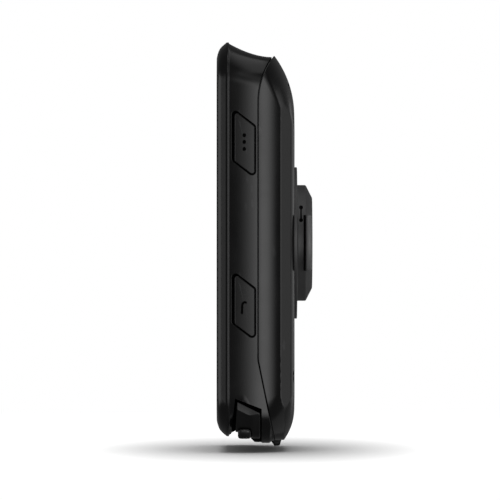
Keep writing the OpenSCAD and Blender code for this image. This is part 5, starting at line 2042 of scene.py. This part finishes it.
@dataclass
class Studio:
    """Camera at the photograph's angle, soft lamps, a white floor and a white surround."""

    pixel: float = 0.2016
    frame: int = 500
    distance: float = 1100.0
    near_x: float = 17.0
    centre_d: float = 6.7
    centre_z: float = -1.45
    sensor: float = 36.0
    clip: Span = (0.05, 50.0)
    floor_z: float = -42.2
    floor_r: float = 4.0
    floor_rings: tuple[float, ...] = (0.02, 0.2, 1.0)
    floor_steps: int = 64
    floor_paint: float = 0.8
    floor_fade: Span = (0.09, 0.26)
    floor_glow: float = 0.02
    shade_reach: Span = (85.0, 34.0)
    shade_y: float = -9.8
    shade_low: float = 0.33
    ambient: float = 0.5
    mirrored: float = 0.1
    boxes: tuple[Softbox, ...] = (
        Softbox("key_rise", 0.0, 0.0, (0.42, 1.5), (0.4, 1.6), soft=0.4),
        Softbox("key_box", 16.0, 0.0, (0.42, 1.5), (1.7, 1.5), soft=0.4),
        Softbox("key_fall", 32.0, 0.0, (0.42, 1.5), (1.5, 0.4), soft=0.4),
        Softbox("key_low", 44.0, 0.0, (0.21, 1.5), (0.4, 0.0), soft=0.4),
        Softbox("brow_box", 42.0, 13.0, (0.7, 0.5), (0.5, 0.5), soft=0.5),
        Softbox("brow_top", 42.0, 32.0, (0.9, 0.7), (0.33, 0.33), soft=0.5),
        Softbox("arch_box", 0.0, 38.0, (0.3, 0.95), (1.2, 1.2), soft=0.3),
        Softbox("arch_top", 0.0, 72.0, (0.3, 1.0), (1.2, 1.2), soft=0.3),
        Softbox("front_near", -57.0, 0.0, (0.32, 0.8), (0.45, 0.4)),
        Softbox("front_box", -90.0, 0.0, (1.3, 0.8), (0.7, 0.8)),
        Softbox("rear_box", 102.0, 0.0, (1.27, 1.0), (0.9, 0.0)),
        Softbox("left_box", 142.0, 0.0, (0.75, 0.45), (0.25, 0.25)),
        Softbox("top_box", 90.0, 66.0, (1.7, 1.4), (0.45, 0.45), soft=0.3),
        Softbox("low_box", 112.0, -40.0, (1.2, 0.9), (0.15, 0.15)),
    )
    floor_box: Softbox = Softbox("floor_box", 180.0, 88.0, (0.75, 1.6), (3.0, 3.0), 1.0)

    def camera(self) -> None:
        """Places the camera level with the object, looking along -X, with the photograph's scale."""
        data = bpy.data.cameras.new("camera")
        data.sensor_width = self.sensor
        data.lens = self.sensor * (self.distance - self.near_x) / (self.frame * self.pixel)
        data.clip_start, data.clip_end = self.clip
        obj = bpy.data.objects.new("camera", data)
        obj.location = (self.distance * MM, (self.centre_d - TOTAL_DEPTH) * MM, self.centre_z * MM)
        obj.rotation_euler = (math.pi / 2, 0.0, math.pi / 2)
        bpy.context.scene.collection.objects.link(obj)
        bpy.context.scene.camera = obj

    def floor(self) -> Obj:
        """A wide white disc for the camera alone, with the object's shadow, that fades to plain white further off.

        A soft oval shade, painted into the floor's colour round the foot of the object, deepens the shadow.

        Returns:
            The floor.
        """
        a = np.linspace(0.0, 2 * math.pi, self.floor_steps, endpoint=False)
        r = np.array(self.floor_rings)[:, None] * self.floor_r / MM
        pts = np.stack([r * np.cos(a), r * np.sin(a), np.full_like(r * a, self.floor_z)], axis=-1)
        surface = Surface()
        surface.grid(pts)
        surface.faces.append(list(range(self.floor_steps)))
        obj = surface.build("floor")
        if obj.data.polygons[0].normal.z < 0:
            obj.data.flip_normals()
        made = bpy.data.materials.new("floor_white")
        made.use_nodes = True
        made.node_tree.nodes.clear()
        t = Tree(made.node_tree)
        where = t.add("ShaderNodeTexCoord").outputs["Object"]
        out = t.vector("LENGTH", where).outputs["Value"]
        fade = t.span(out, *self.floor_fade, self.floor_glow, 1.0)
        # Painted shadow: the floor's colour darkens in an oval round the object's foot.
        foot = (0.0, self.shade_y * MM, self.floor_z * MM)
        reach = (self.shade_reach[0] * MM, self.shade_reach[1] * MM, 1.0)
        off = t.vector("DIVIDE", t.vector("SUBTRACT", where, foot).outputs["Vector"], reach).outputs["Vector"]
        off = t.vector("LENGTH", off).outputs["Value"]
        paint = t.span(off, 0.0, 1.0, self.floor_paint * self.shade_low, self.floor_paint)
        cover = t.add("ShaderNodeBsdfDiffuse", {"Color": paint})
        seen = t.choose(fade, cover, t.add("ShaderNodeEmission", {"Color": WHITE})).node
        below = t.add("ShaderNodeNewGeometry").outputs["Backfacing"]
        seen = t.choose(below, seen, t.add("ShaderNodeBsdfTransparent"))
        t.add("ShaderNodeOutputMaterial", {"Surface": seen})
        obj.data.materials.append(made)
        obj.visible_diffuse = obj.visible_glossy = obj.visible_shadow = False
        return obj

    def lit(self, floor: Obj, what: Lit) -> bpy.types.Collection:
        """A collection by which a lamp lights the floor alone or all but the floor.

        Args:
            floor: the floor.
            what: what the lamp lights.
        Returns:
            The collection.
        """
        made = bpy.data.collections.new(f"floor_{what.value.lower()}")
        made.objects.link(floor)
        made.collection_objects[0].light_linking.link_state = what.value
        return made

    def surround(self) -> None:
        """World: white for the camera and through glass, half as bright as light, and dim in reflections."""
        world = bpy.data.worlds.new("surround")
        world.use_nodes = True
        world.node_tree.nodes.clear()
        t = Tree(world.node_tree)
        path = t.add("ShaderNodeLightPath").outputs
        seen = t.math("MAXIMUM", path["Is Camera Ray"], path["Is Transmission Ray"])
        dimmed = t.math("MULTIPLY", path["Is Glossy Ray"], self.ambient - self.mirrored)
        level = t.math("MAXIMUM", seen, t.math("SUBTRACT", self.ambient, dimmed))
        back = t.add("ShaderNodeBackground", {"Color": WHITE, "Strength": level})
        t.add("ShaderNodeOutputWorld", {"Surface": back.outputs[0]})
        bpy.context.scene.world = world

    def build(self) -> None:
        """Sets up camera, lamps, floor and surround."""
        bpy.context.scene.view_settings.view_transform = "Standard"
        self.camera()
        floor = self.floor()
        for box in self.boxes:
            box.build(self.lit(floor, Lit.REST))
        self.floor_box.build(self.lit(floor, Lit.FLOOR))
        self.surround()


def dress_carried(nodes: dict[str, Obj]) -> None:
    """Gives every construction node that stays in view its finish.

    Args:
        nodes: construction nodes by name.
    """
    for name, obj in nodes.items():
        finish = PLUNGER if name.endswith("_plunger") else CARRIED.get(name)
        if finish:
            finish.put_on(obj)
            LOG.info("%s: carried over, %s", name, finish.name)


def main() -> None:
    """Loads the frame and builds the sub-assemblies in order."""
    logging.basicConfig(level=logging.INFO, format="%(message)s")
    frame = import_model()
    form = CaseForm()
    buttons = [
        SideButton(form, "menu", Body.MENU, Side.RIGHT, 20.0, Mark.DOTS),
        SideButton(form, "back", Body.BACK, Side.RIGHT, -12.6, Mark.HOOK),
        SideButton(form, "power", Body.POWER, Side.LEFT, 20.0, Mark.RING),
        SideButton(form, "up", Body.UP, Side.LEFT, 4.0, Mark.RISE),
        SideButton(form, "down", Body.DOWN, Side.LEFT, -12.6, Mark.FALL),
    ]
    keys = [
        CornerKey("start", Body.START, Side.RIGHT),
        CornerKey("lap", Body.LAP, Side.LEFT),
    ]
    shell = RearShell(form)
    mount = QuarterTurnMount()
    FrontBezel(form).build()
    FrontGlass().build()
    MidFrame(form, buttons, keys).build()
    shell.build()
    for piece in (*buttons, *keys):
        piece.build()
    mount.build()
    SocketScrews("case_socket_screws", "case_screws", shell.screw_places(), seat_d=shell.seat_d, tip_d=5.2,
                 shank_r=0.9, head=(1.5, 1.0), socket_r=0.72).build()
    SocketScrews("mount_socket_screws", "mount_screws", mount.screws(), seat_d=18.35, tip_d=14.65,
                 shank_r=0.7, head=mount.screw_head, socket_r=0.56).build()
    PortDoor().build()
    TetherEyelet().build()
    dress_carried(frame["nodes"])
    Studio().build()


if __name__ == "__main__":
    main()
